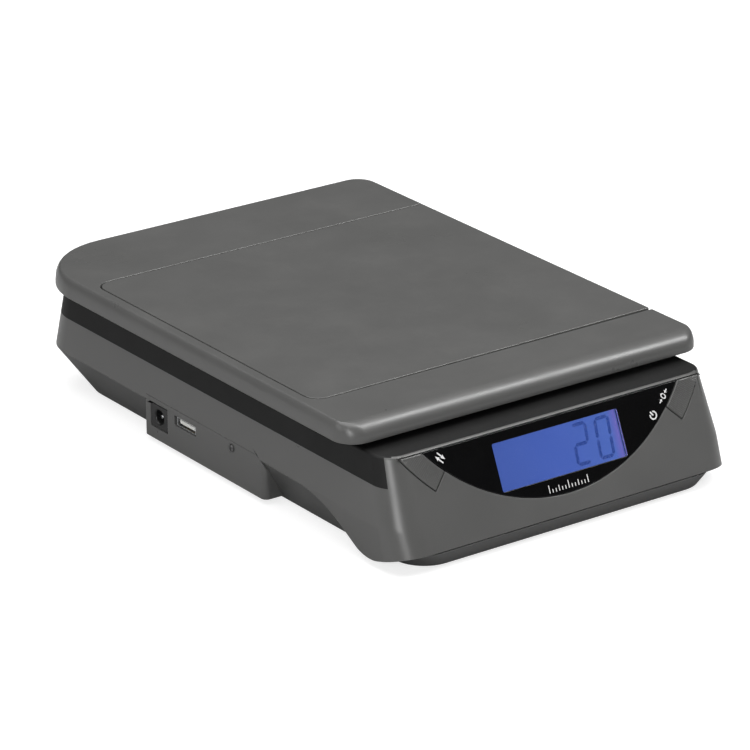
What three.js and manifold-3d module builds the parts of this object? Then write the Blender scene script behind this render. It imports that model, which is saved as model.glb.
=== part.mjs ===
// Electronic postal scale with a pull-out leaf in its weighing platform.
// Units are millimetres. +X is the user's right, +Y the rear, +Z up, and the
// origin is the middle of the footprint on the table.

import * as THREE from 'three';
import { ConvexGeometry } from 'three/addons/geometries/ConvexGeometry.js';
import { mergeVertices } from 'three/addons/utils/BufferGeometryUtils.js';
import Module from 'manifold-3d';

const wasm = await Module();
wasm.setup();

// ---------------------------------------------------------------- sizes

// Whole scale
const overallLength = 296;
const overallHeight = 62.5;
const fitGap = 0.3;

// Weighing platform
const platformWidth = 200;
const platformLength = 264;
const platformThickness = 9;
const platformRim = 1.5;
const platformFrontRadius = 11;
const platformRearRadius = 12;
const platformRearLeftRadius = 41;
const platformSideRounding = 3;
const platformWall = 2.2;
const platformGap = 3.5;
const platformTravel = 0.8;

// Pull-out leaf in the platform
const leafThickness = 2.6;
const leafFloor = 1.6;
const leafBearingGap = 0.4;
const leafFrontStrip = 34.5;
const leafRearStrip = 52;
const leafLeftStrip = 7;
const leafEndInset = 2.4;
const leafEndLip = 2.4;
const leafCornerRadius = 8;
const leafGapLeft = 0.7;
const leafGapRight = 2;
const leafTravel = 80;
const hookLength = 6;
const hookNeck = 5;
const hookHead = 10;
const hookHeadThickness = 1.2;
const hookEdgeDistance = 23;

// Base casing
const baseWall = 2.4;
const baseFrontWall = 3.2;
const baseSideOverhang = 6;
const baseTopLean = 4;
const baseShoulder = 29;
const baseRearOverhang = 3;
const baseTopSetback = 3;
const baseRearRadius = 22;
const noseLean = THREE.MathUtils.degToRad(24);
const noseSeamHeight = 9;
const noseTopRadius = 10;
const noseFloorRadius = 18;

// Parting line between the two casing shells, seen from the side
const partingHeight = 20;
const partingBendRear = 68;
const partingBendFront = 27;
const partingNoseDip = 1;
const partingGap = 0.2;

// Lower shell
const groundClearance = 1.2;
const lowerSideInset = 10.5;
const lowerFrontInset = 4;
const lowerRearInset = 18;
const lowerFrontRadius = 16;
const lowerRearRadius = 20;
const lowerTopInset = 0.6;

// Connector box on the left side
const boxRearInset = 91.1;
const boxLength = 98.3;
const boxDepth = 15;
const boxBottom = 2.2;
const boxCornerRadius = 3;
const boxTopBend = 6;

// Sockets in the connector box
const jackWidth = 13.4;
const jackHeight = 11.4;
const jackDepth = 11.5;
const jackInset = 12.9;
const jackHeightUp = 14;
const jackBoreRadius = 3.4;
const jackBoreDepth = 9;
const jackPinRadius = 1.05;
const usbOpening = { width: 17.6, height: 5 };
const usbShellSize = { width: 15.2, height: 4.4, depth: 13 };
const usbShellWall = 0.4;
const usbInset = 34.5;
const usbHeightUp = 17;
const usbTongueSize = { width: 12, height: 1.9, depth: 11 };
const usbSetback = 0.8;
const sideScrewInset = 72.5;
const sideScrewHeightUp = 19.2;
const sideScrewRadius = 1;
const sideScrewHeadRadius = 1.9;
const connectorBoardThickness = 1.6;

// Display and buttons, on the sloping face
const buttonSideMargin = 9.3;
const lensDrop = 35.6;
const lensCentreX = 1;
const lensTopMargin = 1.1;
const lensThickness = 1.4;
const lcdWidth = 70;
const lcdHeight = 21.8;
const lcdCentreDrop = 16.6;
const lcdGlassThickness = 1.8;
const lcdSetback = 0.6;
const boardDepth = 12;
const boardThickness = 1.6;
const boardSideMargin = 14;
const boardTopDrop = 4;
const boardBottomDrop = 36;
const boardPostDrops = [9, 32];
const boardPostRadius = 3;
const buttonGap = 0.5;
const buttonBand = 9.8;
const buttonEndAngle = THREE.MathUtils.degToRad(46.5);
const buttonProud = 0.3;
const buttonTravel = 0.6;
const buttonFlange = 1;
const buttonFlangeReach = 0.9;
const buttonFlangeDrop = 8;
const buttonStemRadius = 2;
const switchSize = 6;
const switchHeight = 3.5;
const plungerRadius = 1.7;
const plungerProud = 1.2;

// Load cell and the pieces bolted to it
const cellLength = 80;
const cellSection = 12.7;
const cellBottom = 20;
const cellHoleRadius = 4.2;
const cellHolePitch = 12;
const cellBlockLength = 22;
const cellBlockWidth = 20;
const cellScrewPitch = 12;
const cellScrewRadius = 2;
const cellScrewHeadRadius = 3.6;
const cellScrewDepth = 7;
const cellBossHeight = 7;
const cellCounterbore = 3.2;
const postClearance = 4;

// Carrier plate, grommets and overload stops under the platform
const carrierThickness = 1.5;
const carrierDrop = 1.8;
const carrierWidth = 140;
const carrierLength = 100;
const carrierCornerRadius = 12;
const grommetInset = 10;
const grommetBore = 2.8;
const grommetWaist = 4.1;
const grommetFlange = 5.6;
const grommetFlangeThickness = 1.1;
const pegRadius = 2.5;
const stopInset = 20;
const stopHeadRadius = 4;
const stopShankRadius = 1.6;
const stopShankLength = 9;

// Housing screws, feet and battery
const housingScrewSideInset = 24;
const housingScrewFrontInset = 50;
const housingScrewRearInset = 65;
const housingScrewRadius = 1.3;
const housingScrewHead = 3;
const housingScrewReach = 12;
const housingPostRadius = 4;
const housingBossRadius = 5.6;
const housingBossHeight = 10;
const footRadius = 6;
const footSideInset = 26;
const footFrontInset = 22;
const footRearInset = 27;
const footRecess = 1.1;
const batterySize = { x: 48.5, y: 26.5, z: 17.5 };
const batteryRearInset = 57;
const batteryDoorMargin = 2.5;
const batteryDoorThickness = 2;

// ------------------------------------------------------ derived places

const platformRear = overallLength / 2;
const platformFront = platformRear - platformLength;
const platformCentreY = (platformFront + platformRear) / 2;
const platformHalf = platformWidth / 2;
const platformBottom = overallHeight - platformThickness;
const baseTop = platformBottom - platformGap;
const baseRear = platformRear - baseRearOverhang;
const noseFront = -overallLength / 2;
const waistHeight = baseTop - baseShoulder;
const baseHalfWidth = platformHalf - baseSideOverhang;
const baseTopHalfWidth = baseHalfWidth - baseTopLean;
const floorTop = groundClearance + baseWall;

const leafTop = overallHeight;
const leafBottom = leafTop - leafThickness;
const recessFloorTop = leafBottom - leafBearingGap;
const recessFloorBottom = recessFloorTop - leafFloor;
const recessFront = platformFront + leafFrontStrip;
const recessRear = platformRear - leafRearStrip;
const recessLeft = -platformHalf + leafLeftStrip;
const leafRight = platformHalf - leafEndInset;
const recessFloorRight = leafRight - leafEndLip - fitGap;

const carrierTop = recessFloorBottom - carrierDrop;
const carrierBottom = carrierTop - carrierThickness;
const cellTop = cellBottom + cellSection;
const cellFront = platformCentreY - cellLength / 2;
const cellRear = platformCentreY + cellLength / 2;
const fixedBlockY = cellFront + cellBlockLength / 2;
const movingBlockY = cellRear - cellBlockLength / 2;

const lensHalfChord = baseTopHalfWidth - buttonBand - buttonSideMargin;
const lensRise = lensDrop - lensTopMargin;
const lensRadius = (lensHalfChord ** 2 + lensRise ** 2) / (2 * lensRise);
const lensCentreRise = lensRadius - lensDrop;
const boardHalfWidth = baseHalfWidth - boardSideMargin;
const buttonInner = lensRadius + buttonGap;
const buttonOuter = buttonInner + buttonBand;
const buttonTopAngle = Math.asin((lensCentreRise + lensTopMargin) / buttonInner);
const buttonMidAngle = (buttonTopAngle + buttonEndAngle) / 2;
const buttonMidRadius = (buttonInner + buttonOuter) / 2;
const postRoom = Math.sqrt((buttonInner - buttonFlangeReach) ** 2
  - (lensCentreRise + boardPostDrops[0]) ** 2);
const boardPostX = (lcdWidth / 2 + postRoom) / 2;
const switchTop = -boardDepth + fitGap + switchHeight;
const stemEnd = switchTop + plungerProud + fitGap;

const boxOuter = -baseHalfWidth;
const boxInner = boxOuter + boxDepth;
const jackBack = boxOuter + fitGap + jackDepth;
const boxRear = baseRear - boxRearInset;
const boxFront = boxRear - boxLength;
const jackCentre = { y: boxRear - jackInset, z: jackHeightUp };
const usbCentre = { y: boxRear - usbInset, z: usbHeightUp };
const sideScrew = { y: boxRear - sideScrewInset, z: sideScrewHeightUp };

const housingScrewX = baseHalfWidth - housingScrewSideInset;
const housingScrewY = [noseFront + housingScrewFrontInset, baseRear - housingScrewRearInset];
const footX = baseHalfWidth - footSideInset;
const footY = [noseFront + footFrontInset, baseRear - footRearInset];
const batteryCentreY = baseRear - batteryRearInset;

// -------------------------------------------------------------- finishes

function finish(color, roughness, metalness) {
  return new THREE.MeshStandardMaterial({ color, roughness, metalness });
}

const greyPlastic = finish(0x636361, 0.42, 0);
const darkPlastic = finish(0x3e3e3d, 0.5, 0);
const blackGloss = finish(0x060606, 0.08, 0);
const blackPlastic = finish(0x101010, 0.45, 0);
const whitePlastic = finish(0xe4e4e0, 0.4, 0);
const lcdBlue = finish(0x4a63b4, 0.15, 0);
const boardGreen = finish(0x1d5b34, 0.5, 0);
const aluminium = finish(0xb4b7ba, 0.35, 0.9);
const steel = finish(0x9a9ea3, 0.3, 1);
const rubber = finish(0x1a1a1a, 0.9, 0);
const batteryFinish = finish(0x2f3440, 0.4, 0.2);

// --------------------------------------------------------- geometry tools

function solid(geometry) {
  const bare = geometry.clone();
  bare.deleteAttribute('normal');
  bare.deleteAttribute('uv');
  const merged = mergeVertices(bare, 1e-4);
  const vertProperties = new Float32Array(merged.attributes.position.array);
  const triVerts = new Uint32Array(merged.index.array);
  return new wasm.Manifold(new wasm.Mesh({ numProp: 3, vertProperties, triVerts }));
}

function toGeometry(body) {
  const mesh = body.getMesh();
  const geometry = new THREE.BufferGeometry();
  geometry.setAttribute('position', new THREE.BufferAttribute(mesh.vertProperties, 3));
  geometry.setIndex(new THREE.BufferAttribute(mesh.triVerts, 1));
  return geometry;
}

function part(name, body, material) {
  const mesh = new THREE.Mesh(toGeometry(body), material);
  mesh.name = name;
  return mesh;
}

function box(x0, x1, y0, y1, z0, z1) {
  const geometry = new THREE.BoxGeometry(x1 - x0, y1 - y0, z1 - z0);
  geometry.translate((x0 + x1) / 2, (y0 + y1) / 2, (z0 + z1) / 2);
  return solid(geometry);
}

function cylinder(x, y, z0, z1, radius, sides = 16) {
  const geometry = new THREE.CylinderGeometry(radius, radius, z1 - z0, sides);
  geometry.rotateX(Math.PI / 2);
  geometry.translate(x, y, (z0 + z1) / 2);
  return solid(geometry);
}

// A cylinder along X, for what passes through a side wall.
function crossCylinder(x0, x1, y, z, radius, sides = 16) {
  const geometry = new THREE.CylinderGeometry(radius, radius, x1 - x0, sides);
  geometry.rotateZ(Math.PI / 2);
  geometry.translate((x0 + x1) / 2, y, z);
  return solid(geometry);
}

// A plate: a flat outline in the XY plane with thickness from z0 to z1.
function plate(shape, z0, z1, curveSegments = 6) {
  const options = { depth: z1 - z0, bevelEnabled: false, curveSegments };
  const geometry = new THREE.ExtrudeGeometry(shape, options);
  geometry.translate(0, 0, z0);
  return solid(geometry);
}

// A side profile drawn in (Y, Z) and stretched along X.
function sideProfile(shape, x0, x1, curveSegments = 6) {
  const options = { depth: x1 - x0, bevelEnabled: false, curveSegments };
  const geometry = new THREE.ExtrudeGeometry(shape, options);
  const axes = new THREE.Matrix4().makeBasis(
    new THREE.Vector3(0, 1, 0),
    new THREE.Vector3(0, 0, 1),
    new THREE.Vector3(1, 0, 0),
  );
  geometry.applyMatrix4(axes);
  geometry.translate(x0, 0, 0);
  return solid(geometry);
}

// A rectangle with its own radius on the front pair and the rear pair of corners.
// The rear left corner may have its own radius too.
function roundedShape(x0, x1, y0, y1, frontRadius, rearRadius, rearLeft = rearRadius) {
  const shape = new THREE.Shape();
  const quarter = Math.PI / 2;
  shape.moveTo(x0 + frontRadius, y0);
  shape.lineTo(x1 - frontRadius, y0);
  shape.absarc(x1 - frontRadius, y0 + frontRadius, frontRadius, -quarter, 0);
  shape.lineTo(x1, y1 - rearRadius);
  shape.absarc(x1 - rearRadius, y1 - rearRadius, rearRadius, 0, quarter);
  shape.lineTo(x0 + rearLeft, y1);
  shape.absarc(x0 + rearLeft, y1 - rearLeft, rearLeft, quarter, 2 * quarter);
  shape.lineTo(x0, y0 + frontRadius);
  shape.absarc(x0 + frontRadius, y0 + frontRadius, frontRadius, 2 * quarter, 3 * quarter);
  return shape;
}

// One level of a rounded form, as points for a hull.
function level(z, x0, x1, y0, y1, frontRadius, rearRadius, steps = 4) {
  const shape = roundedShape(x0, x1, y0, y1, frontRadius, rearRadius);
  return shape.getPoints(steps).map((point) => new THREE.Vector3(point.x, point.y, z));
}

function hull(levels) {
  return solid(new ConvexGeometry(levels.flat()));
}

function lathe(profile, x, y, sides = 16) {
  const points = profile.map(([radius, z]) => new THREE.Vector2(radius, z));
  const geometry = new THREE.LatheGeometry(points, sides);
  geometry.rotateX(Math.PI / 2);
  geometry.translate(x, y, 0);
  return solid(geometry);
}

// A pan-head screw pointing up: its head is below headZ and its tip at tipZ.
// With tipZ below headZ it points down and its head is above headZ.
function screw(x, y, headZ, tipZ, shankRadius, headRadius, headHeight) {
  const way = Math.sign(tipZ - headZ);
  const low = Math.min(headZ, tipZ);
  const high = Math.max(headZ, tipZ);
  const head = cylinder(x, y, Math.min(headZ, headZ - way * headHeight),
    Math.max(headZ, headZ - way * headHeight), headRadius, 14);
  const shank = cylinder(x, y, low - (way > 0 ? headHeight / 2 : 0),
    high + (way < 0 ? headHeight / 2 : 0), shankRadius, 12);
  const outer = headZ - way * headHeight;
  const slot = box(x - headRadius * 0.6, x + headRadius * 0.6, y - 0.4, y + 0.4,
    Math.min(outer - 0.1, outer + way * 0.6), Math.max(outer + 0.1, outer + way * 0.6));
  return head.add(shank).subtract(slot);
}

// ---------------------------------------------------- the sloping face

// The face's own frame: x to the right, y up the face, z out of it, with the
// origin in the middle of the casing's top front edge.
const faceTop = noseFront + (baseTop - noseSeamHeight) * Math.tan(noseLean);
const faceMatrix = new THREE.Matrix4()
  .makeTranslation(0, faceTop, baseTop)
  .multiply(new THREE.Matrix4().makeRotationX(Math.PI / 2 - noseLean));

function onFace(body) {
  const geometry = toGeometry(body);
  geometry.applyMatrix4(faceMatrix);
  return solid(geometry);
}

// The lens outline: a disc segment, flat along its top edge.
function lensShape(radius, topDrop) {
  const shape = new THREE.Shape();
  const angle = Math.asin((lensCentreRise + topDrop) / radius);
  shape.absarc(lensCentreX, lensCentreRise, radius, Math.PI + angle, 2 * Math.PI - angle);
  return shape;
}

// A crescent beside the lens; side is -1 on the left and 1 on the right.
function crescentShape(side, inner, outer, topDrop, endAngle) {
  const innerTop = Math.asin((lensCentreRise + topDrop) / inner);
  const outerTop = Math.asin((lensCentreRise + topDrop) / outer);
  const shape = new THREE.Shape();
  const at = (angle) => (side < 0 ? Math.PI + angle : 2 * Math.PI - angle);
  const clockwise = side > 0;
  shape.absarc(lensCentreX, lensCentreRise, outer, at(outerTop), at(endAngle), clockwise);
  shape.absarc(lensCentreX, lensCentreRise, inner, at(endAngle), at(innerTop), !clockwise);
  return shape;
}

function buttonCentre(side) {
  return {
    x: lensCentreX + side * buttonMidRadius * Math.cos(buttonMidAngle),
    y: lensCentreRise - buttonMidRadius * Math.sin(buttonMidAngle),
  };
}

// ---------------------------------------------------- casing outlines

function noseY(z) {
  return noseFront + (z - noseSeamHeight) * Math.tan(noseLean);
}

function casingLevel(z, wall, frontWall, steps) {
  const shoulder = Math.max(0, (z - waistHeight) / baseShoulder);
  const half = baseHalfWidth - shoulder * (baseHalfWidth - baseTopHalfWidth) - wall;
  const rear = baseRear - shoulder * baseTopSetback - wall;
  const radius = THREE.MathUtils.lerp(noseFloorRadius, noseTopRadius, z / baseTop);
  const front = noseY(z) + frontWall / Math.cos(noseLean);
  return level(z, -half, half, front, rear, radius - wall, baseRearRadius - wall, steps);
}

function casingForm(wall, frontWall, top, bottom = 0) {
  const heights = [bottom, waistHeight, top];
  return hull(heights.map((z) => casingLevel(z, wall, frontWall, 5)));
}

// All that lies under the parting line between the two shells.
function belowParting(offset) {
  const shape = new THREE.Shape();
  const bendRear = noseFront + partingBendRear;
  const bendFront = noseFront + partingBendFront;
  const bend = bendRear - bendFront;
  const rearPull = 0.5;
  const frontPull = 0.32;
  const frontLift = 1;
  const slope = (partingNoseDip - noseSeamHeight) / (bendFront - noseFront);
  const far = noseFront - 20;
  shape.moveTo(platformRear + 20, -20);
  shape.lineTo(platformRear + 20, partingHeight + offset);
  shape.lineTo(bendRear, partingHeight + offset);
  shape.bezierCurveTo(
    bendRear - bend * rearPull, partingHeight + offset,
    bendFront + bend * frontPull, partingNoseDip + offset + frontLift,
    bendFront, partingNoseDip + offset,
  );
  shape.lineTo(far, partingNoseDip + offset + slope * (far - bendFront));
  shape.lineTo(far, -20);
  return sideProfile(shape, -platformHalf - 10, platformHalf + 10, 10);
}

function boxForm(grow) {
  const profile = new THREE.Shape();
  const top = partingHeight + baseWall;
  profile.moveTo(boxRear + grow, boxBottom - grow);
  profile.lineTo(boxRear + grow, top + grow);
  profile.lineTo(boxFront + boxTopBend - grow, top + grow);
  profile.quadraticCurveTo(boxFront - grow, partingHeight, boxFront - grow,
    partingHeight - boxTopBend);
  profile.lineTo(boxFront - grow, boxBottom - grow);
  const side = sideProfile(profile, boxOuter - grow, boxInner + grow, 6);
  const radius = boxCornerRadius;
  const plan = roundedShape(boxOuter - grow, boxInner + grow + 2 * radius,
    boxFront - grow, boxRear + grow, radius, radius);
  return side.intersect(plate(plan, boxBottom - grow, top + grow));
}

function boxCavity() {
  return box(boxOuter + baseWall, boxInner + baseWall, boxFront + baseWall,
    boxRear - baseWall, boxBottom + baseWall, partingHeight + 2 * baseWall);
}

// ------------------------------------------------------------ base shells

function socketOpenings() {
  const jack = box(boxOuter - 5, boxOuter + baseWall + 1,
    jackCentre.y - jackWidth / 2 - fitGap, jackCentre.y + jackWidth / 2 + fitGap,
    jackCentre.z - jackHeight / 2 - fitGap, jackCentre.z + jackHeight / 2 + fitGap);
  const usb = box(boxOuter - 5, boxOuter + baseWall + 1,
    usbCentre.y - usbOpening.width / 2, usbCentre.y + usbOpening.width / 2,
    usbCentre.z - usbOpening.height / 2, usbCentre.z + usbOpening.height / 2);
  const pin = crossCylinder(boxOuter - 5, boxOuter + baseWall + 1, sideScrew.y,
    sideScrew.z, sideScrewRadius + fitGap);
  return jack.add(usb).add(pin);
}

function faceOpenings() {
  const lensSeat = plate(lensShape(lensRadius + fitGap, lensTopMargin - fitGap),
    -lensThickness - fitGap, 5, 24);
  const lcdHole = box(lensCentreX - lcdWidth / 2 - fitGap, lensCentreX + lcdWidth / 2 + fitGap,
    -lcdCentreDrop - lcdHeight / 2 - fitGap, -lcdCentreDrop + lcdHeight / 2 + fitGap,
    -baseFrontWall - 2, 2);
  let openings = lensSeat.add(lcdHole);
  for (const side of [-1, 1]) {
    const slot = crescentShape(side, lensRadius, buttonOuter + buttonGap,
      lensTopMargin - fitGap, buttonEndAngle + buttonGap / buttonMidRadius);
    openings = openings.add(plate(slot, -baseFrontWall - 2, 5, 12));
  }
  return onFace(openings);
}

function boardPosts() {
  let posts = null;
  for (const side of [-1, 1]) {
    for (const drop of boardPostDrops) {
      const x = lensCentreX + side * boardPostX;
      const post = cylinder(x, -drop, -boardDepth + fitGap, -baseFrontWall + 0.5,
        boardPostRadius, 12);
      const bore = cylinder(x, -drop, -boardDepth - 1, -baseFrontWall - 1.5, 1.2, 10);
      const bored = post.subtract(bore);
      posts = posts ? posts.add(bored) : bored;
    }
  }
  return onFace(posts);
}

function housingPlaces() {
  return [-1, 1].flatMap((side) => housingScrewY.map((y) => ({ x: side * housingScrewX, y })));
}

function stopPlaces() {
  const dx = carrierWidth / 2 - stopInset;
  const dy = carrierLength / 2 - stopInset;
  return [-1, 1].flatMap((side) => [-1, 1].map((end) => (
    { x: side * dx, y: platformCentreY + end * dy })));
}

function makeUpperShell() {
  const above = casingForm(0, 0, baseTop).subtract(belowParting(partingGap));
  let shell = above.subtract(casingForm(baseWall, baseFrontWall, baseTop - baseWall));
  shell = shell.add(boxForm(0).subtract(boxCavity()));
  for (const { x, y } of housingPlaces()) {
    const foot = groundClearance + housingBossHeight + fitGap;
    shell = shell.add(cylinder(x, y, foot, baseTop - 1, housingPostRadius));
    shell = shell.subtract(cylinder(x, y, foot - 1, foot + housingScrewReach + 1,
      housingScrewRadius + fitGap, 12));
  }
  for (const { x, y } of stopPlaces()) {
    shell = shell.add(cylinder(x, y, baseTop - stopShankLength, baseTop - 1, 4));
    shell = shell.subtract(cylinder(x, y, 30, baseTop + 1, stopShankRadius + fitGap, 12));
  }
  const half = cellBlockWidth / 2 + postClearance;
  shell = shell.subtract(box(-half, half, movingBlockY - cellBlockLength / 2 - postClearance,
    movingBlockY + cellBlockLength / 2 + postClearance, 30, baseTop + 1));
  shell = shell.add(boardPosts());
  return shell.subtract(faceOpenings()).subtract(socketOpenings());
}

function lowerForm(wall, bottom) {
  const rise = (partingHeight - groundClearance);
  const flare = (z) => (z - groundClearance) / rise;
  const build = (z) => {
    const inset = THREE.MathUtils.lerp(lowerSideInset, lowerTopInset, flare(z)) + wall;
    const rearInset = THREE.MathUtils.lerp(lowerRearInset, lowerTopInset, flare(z)) + wall;
    const frontLean = lowerFrontInset / (noseSeamHeight - groundClearance);
    const front = noseFront + lowerFrontInset - frontLean * (z - groundClearance) + wall;
    return level(z, -baseHalfWidth + inset, baseHalfWidth - inset, front,
      baseRear - rearInset, lowerFrontRadius - wall, lowerRearRadius - wall, 5);
  };
  return hull([build(bottom), build(partingHeight)]);
}

function footPlaces() {
  return [-1, 1].flatMap((side) => footY.map((y) => ({ x: side * footX, y })));
}

function cellScrewPlaces(centreY) {
  return [-1, 1].map((end) => ({ x: 0, y: centreY + end * cellScrewPitch / 2 }));
}

function batteryDoorBox(grow) {
  const halfX = batterySize.x / 2 + batteryDoorMargin + grow;
  const halfY = batterySize.y / 2 + batteryDoorMargin + grow;
  return [-halfX, halfX, batteryCentreY - halfY, batteryCentreY + halfY];
}

function makeLowerShell() {
  const inside = casingForm(baseWall + fitGap, baseFrontWall + fitGap, baseTop - baseWall, 0);
  const region = belowParting(-partingGap).add(inside);
  let shell = lowerForm(0, groundClearance).intersect(region);
  shell = shell.subtract(lowerForm(baseWall, floorTop));
  shell = shell.subtract(boxForm(fitGap));
  for (const { x, y } of housingPlaces()) {
    const top = groundClearance + housingBossHeight;
    shell = shell.add(cylinder(x, y, groundClearance, top, housingBossRadius));
    shell = shell.subtract(cylinder(x, y, 0, top - baseWall, housingScrewHead + 0.8));
    shell = shell.subtract(cylinder(x, y, 0, top + 1, housingScrewRadius + fitGap, 12));
  }
  shell = shell.add(box(-cellBlockWidth / 2, cellBlockWidth / 2,
    fixedBlockY - cellBlockLength / 2, fixedBlockY + cellBlockLength / 2,
    groundClearance, cellBossHeight));
  for (const { x, y } of cellScrewPlaces(fixedBlockY)) {
    shell = shell.subtract(cylinder(x, y, 0, groundClearance + cellCounterbore,
      cellScrewHeadRadius + 0.6));
    shell = shell.subtract(cylinder(x, y, 0, cellBossHeight + 1, cellScrewRadius + fitGap, 12));
  }
  for (const { x, y } of footPlaces()) {
    shell = shell.subtract(cylinder(x, y, 0, groundClearance + footRecess,
      footRadius + fitGap, 20));
  }
  return shell.subtract(box(...batteryDoorBox(fitGap), 0, floorTop + 1));
}

// --------------------------------------------------------------- platform

// The cover's outside, or its inside when wall is more than 0: a plain rim and
// above it a rounded edge, deep at the front and shallow on the other sides.
function platformForm(wall, top) {
  const edgeRadius = platformThickness - platformRim;
  const levels = [];
  const add = (z, round) => {
    const ahead = edgeRadius * round + wall;
    const aside = platformSideRounding * round + wall;
    const outline = roundedShape(-platformHalf + aside, platformHalf - aside,
      platformFront + ahead, platformRear - aside, platformFrontRadius - ahead,
      platformRearRadius - aside, platformRearLeftRadius - aside);
    levels.push(outline.getPoints(5).map((point) => new THREE.Vector3(point.x, point.y, z)));
  };
  const lowest = wall > 0 ? platformBottom - 1 : platformBottom;
  add(lowest, 0);
  const steps = 5;
  for (let i = 0; i <= steps; i += 1) {
    const angle = (i / steps) * (Math.PI / 2);
    const z = platformBottom + platformRim + edgeRadius * Math.sin(angle);
    add(z - (wall > 0 ? overallHeight - top : 0), 1 - Math.cos(angle));
  }
  return hull(levels);
}

// The leaf's outline, or the recess's when grow is more than 0.
function leafShape(left, right, front, frontRight, rear, radius) {
  const shape = new THREE.Shape();
  const quarter = Math.PI / 2;
  shape.moveTo(left + radius, front);
  shape.lineTo(right, frontRight);
  shape.lineTo(right, rear);
  shape.lineTo(left + radius, rear);
  shape.absarc(left + radius, rear - radius, radius, quarter, 2 * quarter);
  shape.lineTo(left, front + radius);
  shape.absarc(left + radius, front + radius, radius, 2 * quarter, 3 * quarter);
  return shape;
}

function hookRows() {
  return [recessFront + hookEdgeDistance, recessRear - hookEdgeDistance];
}

const hookLeft = recessLeft + 13;

function grommetPlaces() {
  const dx = carrierWidth / 2 - grommetInset;
  const dy = carrierLength / 2 - grommetInset;
  return [-1, 1].flatMap((side) => [-1, 1].map((end) => (
    { x: side * dx, y: platformCentreY + end * dy })));
}

function makePlatform() {
  const outside = platformForm(0, overallHeight);
  const innerTop = overallHeight - platformWall;
  let cover = outside.subtract(platformForm(platformWall, innerTop));
  const slab = box(recessLeft - platformWall, recessFloorRight,
    recessFront - platformWall, recessRear + platformWall, recessFloorBottom, innerTop + 0.5);
  cover = cover.add(slab.intersect(outside));
  const recess = leafShape(recessLeft, platformHalf + 10, recessFront, recessFront,
    recessRear, leafCornerRadius);
  cover = cover.subtract(plate(recess, recessFloorTop, overallHeight + 5));
  cover = cover.subtract(box(recessFloorRight, platformHalf + 10, recessFront, recessRear,
    platformBottom - 5, overallHeight + 5));
  for (const y of hookRows()) {
    const half = hookNeck / 2 + 0.6;
    cover = cover.subtract(box(hookLeft - 0.6, hookLeft + hookLength + leafTravel + 0.6,
      y - half, y + half, recessFloorBottom - 1, recessFloorTop + 1));
  }
  for (const { x, y } of grommetPlaces()) {
    cover = cover.add(cylinder(x, y, carrierBottom - 0.6, recessFloorBottom + 0.5,
      pegRadius, 12));
  }
  return cover;
}

function makeLeaf() {
  const left = recessLeft + leafGapLeft;
  const outline = leafShape(left, leafRight, recessFront + leafGapLeft,
    recessFront + leafGapRight, recessRear - leafGapLeft, leafCornerRadius - leafGapLeft);
  let leaf = plate(outline, leafBottom, leafTop);
  leaf = leaf.add(box(leafRight - leafEndLip, leafRight, recessFront + leafGapRight,
    recessRear - leafGapLeft, platformBottom, leafBottom + 0.5));
  for (const y of hookRows()) {
    const headTop = recessFloorBottom - leafBearingGap;
    leaf = leaf.add(box(hookLeft, hookLeft + hookLength, y - hookNeck / 2, y + hookNeck / 2,
      headTop - 0.5, leafBottom + 0.5));
    leaf = leaf.add(box(hookLeft, hookLeft + hookLength, y - hookHead / 2, y + hookHead / 2,
      headTop - hookHeadThickness, headTop));
  }
  return leaf;
}

function makeCarrier() {
  const halfX = carrierWidth / 2;
  const halfY = carrierLength / 2;
  const outline = roundedShape(-halfX, halfX, platformCentreY - halfY, platformCentreY + halfY,
    carrierCornerRadius, carrierCornerRadius);
  let carrier = plate(outline, carrierBottom, carrierTop, 4);
  for (const { x, y } of grommetPlaces()) {
    carrier = carrier.subtract(cylinder(x, y, carrierBottom - 1, carrierTop + 1,
      grommetWaist + fitGap));
  }
  for (const { x, y } of cellScrewPlaces(movingBlockY)) {
    carrier = carrier.subtract(cylinder(x, y, carrierBottom - 1, carrierTop + 1,
      cellScrewRadius + fitGap, 12));
  }
  for (const side of [-1, 1]) {
    const window = roundedShape(side * halfX * 0.5 - 12, side * halfX * 0.5 + 12,
      platformCentreY - halfY * 0.3, platformCentreY + halfY * 0.3, 5, 5);
    carrier = carrier.subtract(plate(window, carrierBottom - 1, carrierTop + 1, 3));
  }
  return carrier;
}

function makeGrommet(x, y) {
  const top = carrierTop + fitGap;
  const bottom = carrierBottom - fitGap;
  return lathe([
    [grommetBore, bottom - grommetFlangeThickness],
    [grommetFlange, bottom - grommetFlangeThickness],
    [grommetFlange, bottom],
    [grommetWaist, bottom],
    [grommetWaist, top],
    [grommetFlange, top],
    [grommetFlange, top + grommetFlangeThickness],
    [grommetBore, top + grommetFlangeThickness],
    [grommetBore, bottom - grommetFlangeThickness],
  ], x, y);
}

// -------------------------------------------------------------- load cell

function makeLoadCell() {
  const middle = cellBottom + cellSection / 2;
  let cell = box(-cellSection / 2, cellSection / 2, cellFront, cellRear, cellBottom, cellTop);
  for (const end of [-1, 1]) {
    const y = platformCentreY + end * cellHolePitch / 2;
    cell = cell.subtract(crossCylinder(-20, 20, y, middle, cellHoleRadius, 20));
  }
  cell = cell.subtract(box(-20, 20, platformCentreY - cellHolePitch / 2,
    platformCentreY + cellHolePitch / 2, middle - 1, middle + 1));
  for (const { x, y } of cellScrewPlaces(fixedBlockY)) {
    cell = cell.subtract(cylinder(x, y, cellBottom - 1, cellBottom + cellScrewDepth + 1,
      cellScrewRadius + fitGap, 12));
  }
  for (const { x, y } of cellScrewPlaces(movingBlockY)) {
    cell = cell.subtract(cylinder(x, y, cellTop - cellScrewDepth - 1, cellTop + 1,
      cellScrewRadius + fitGap, 12));
  }
  return cell;
}

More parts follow.
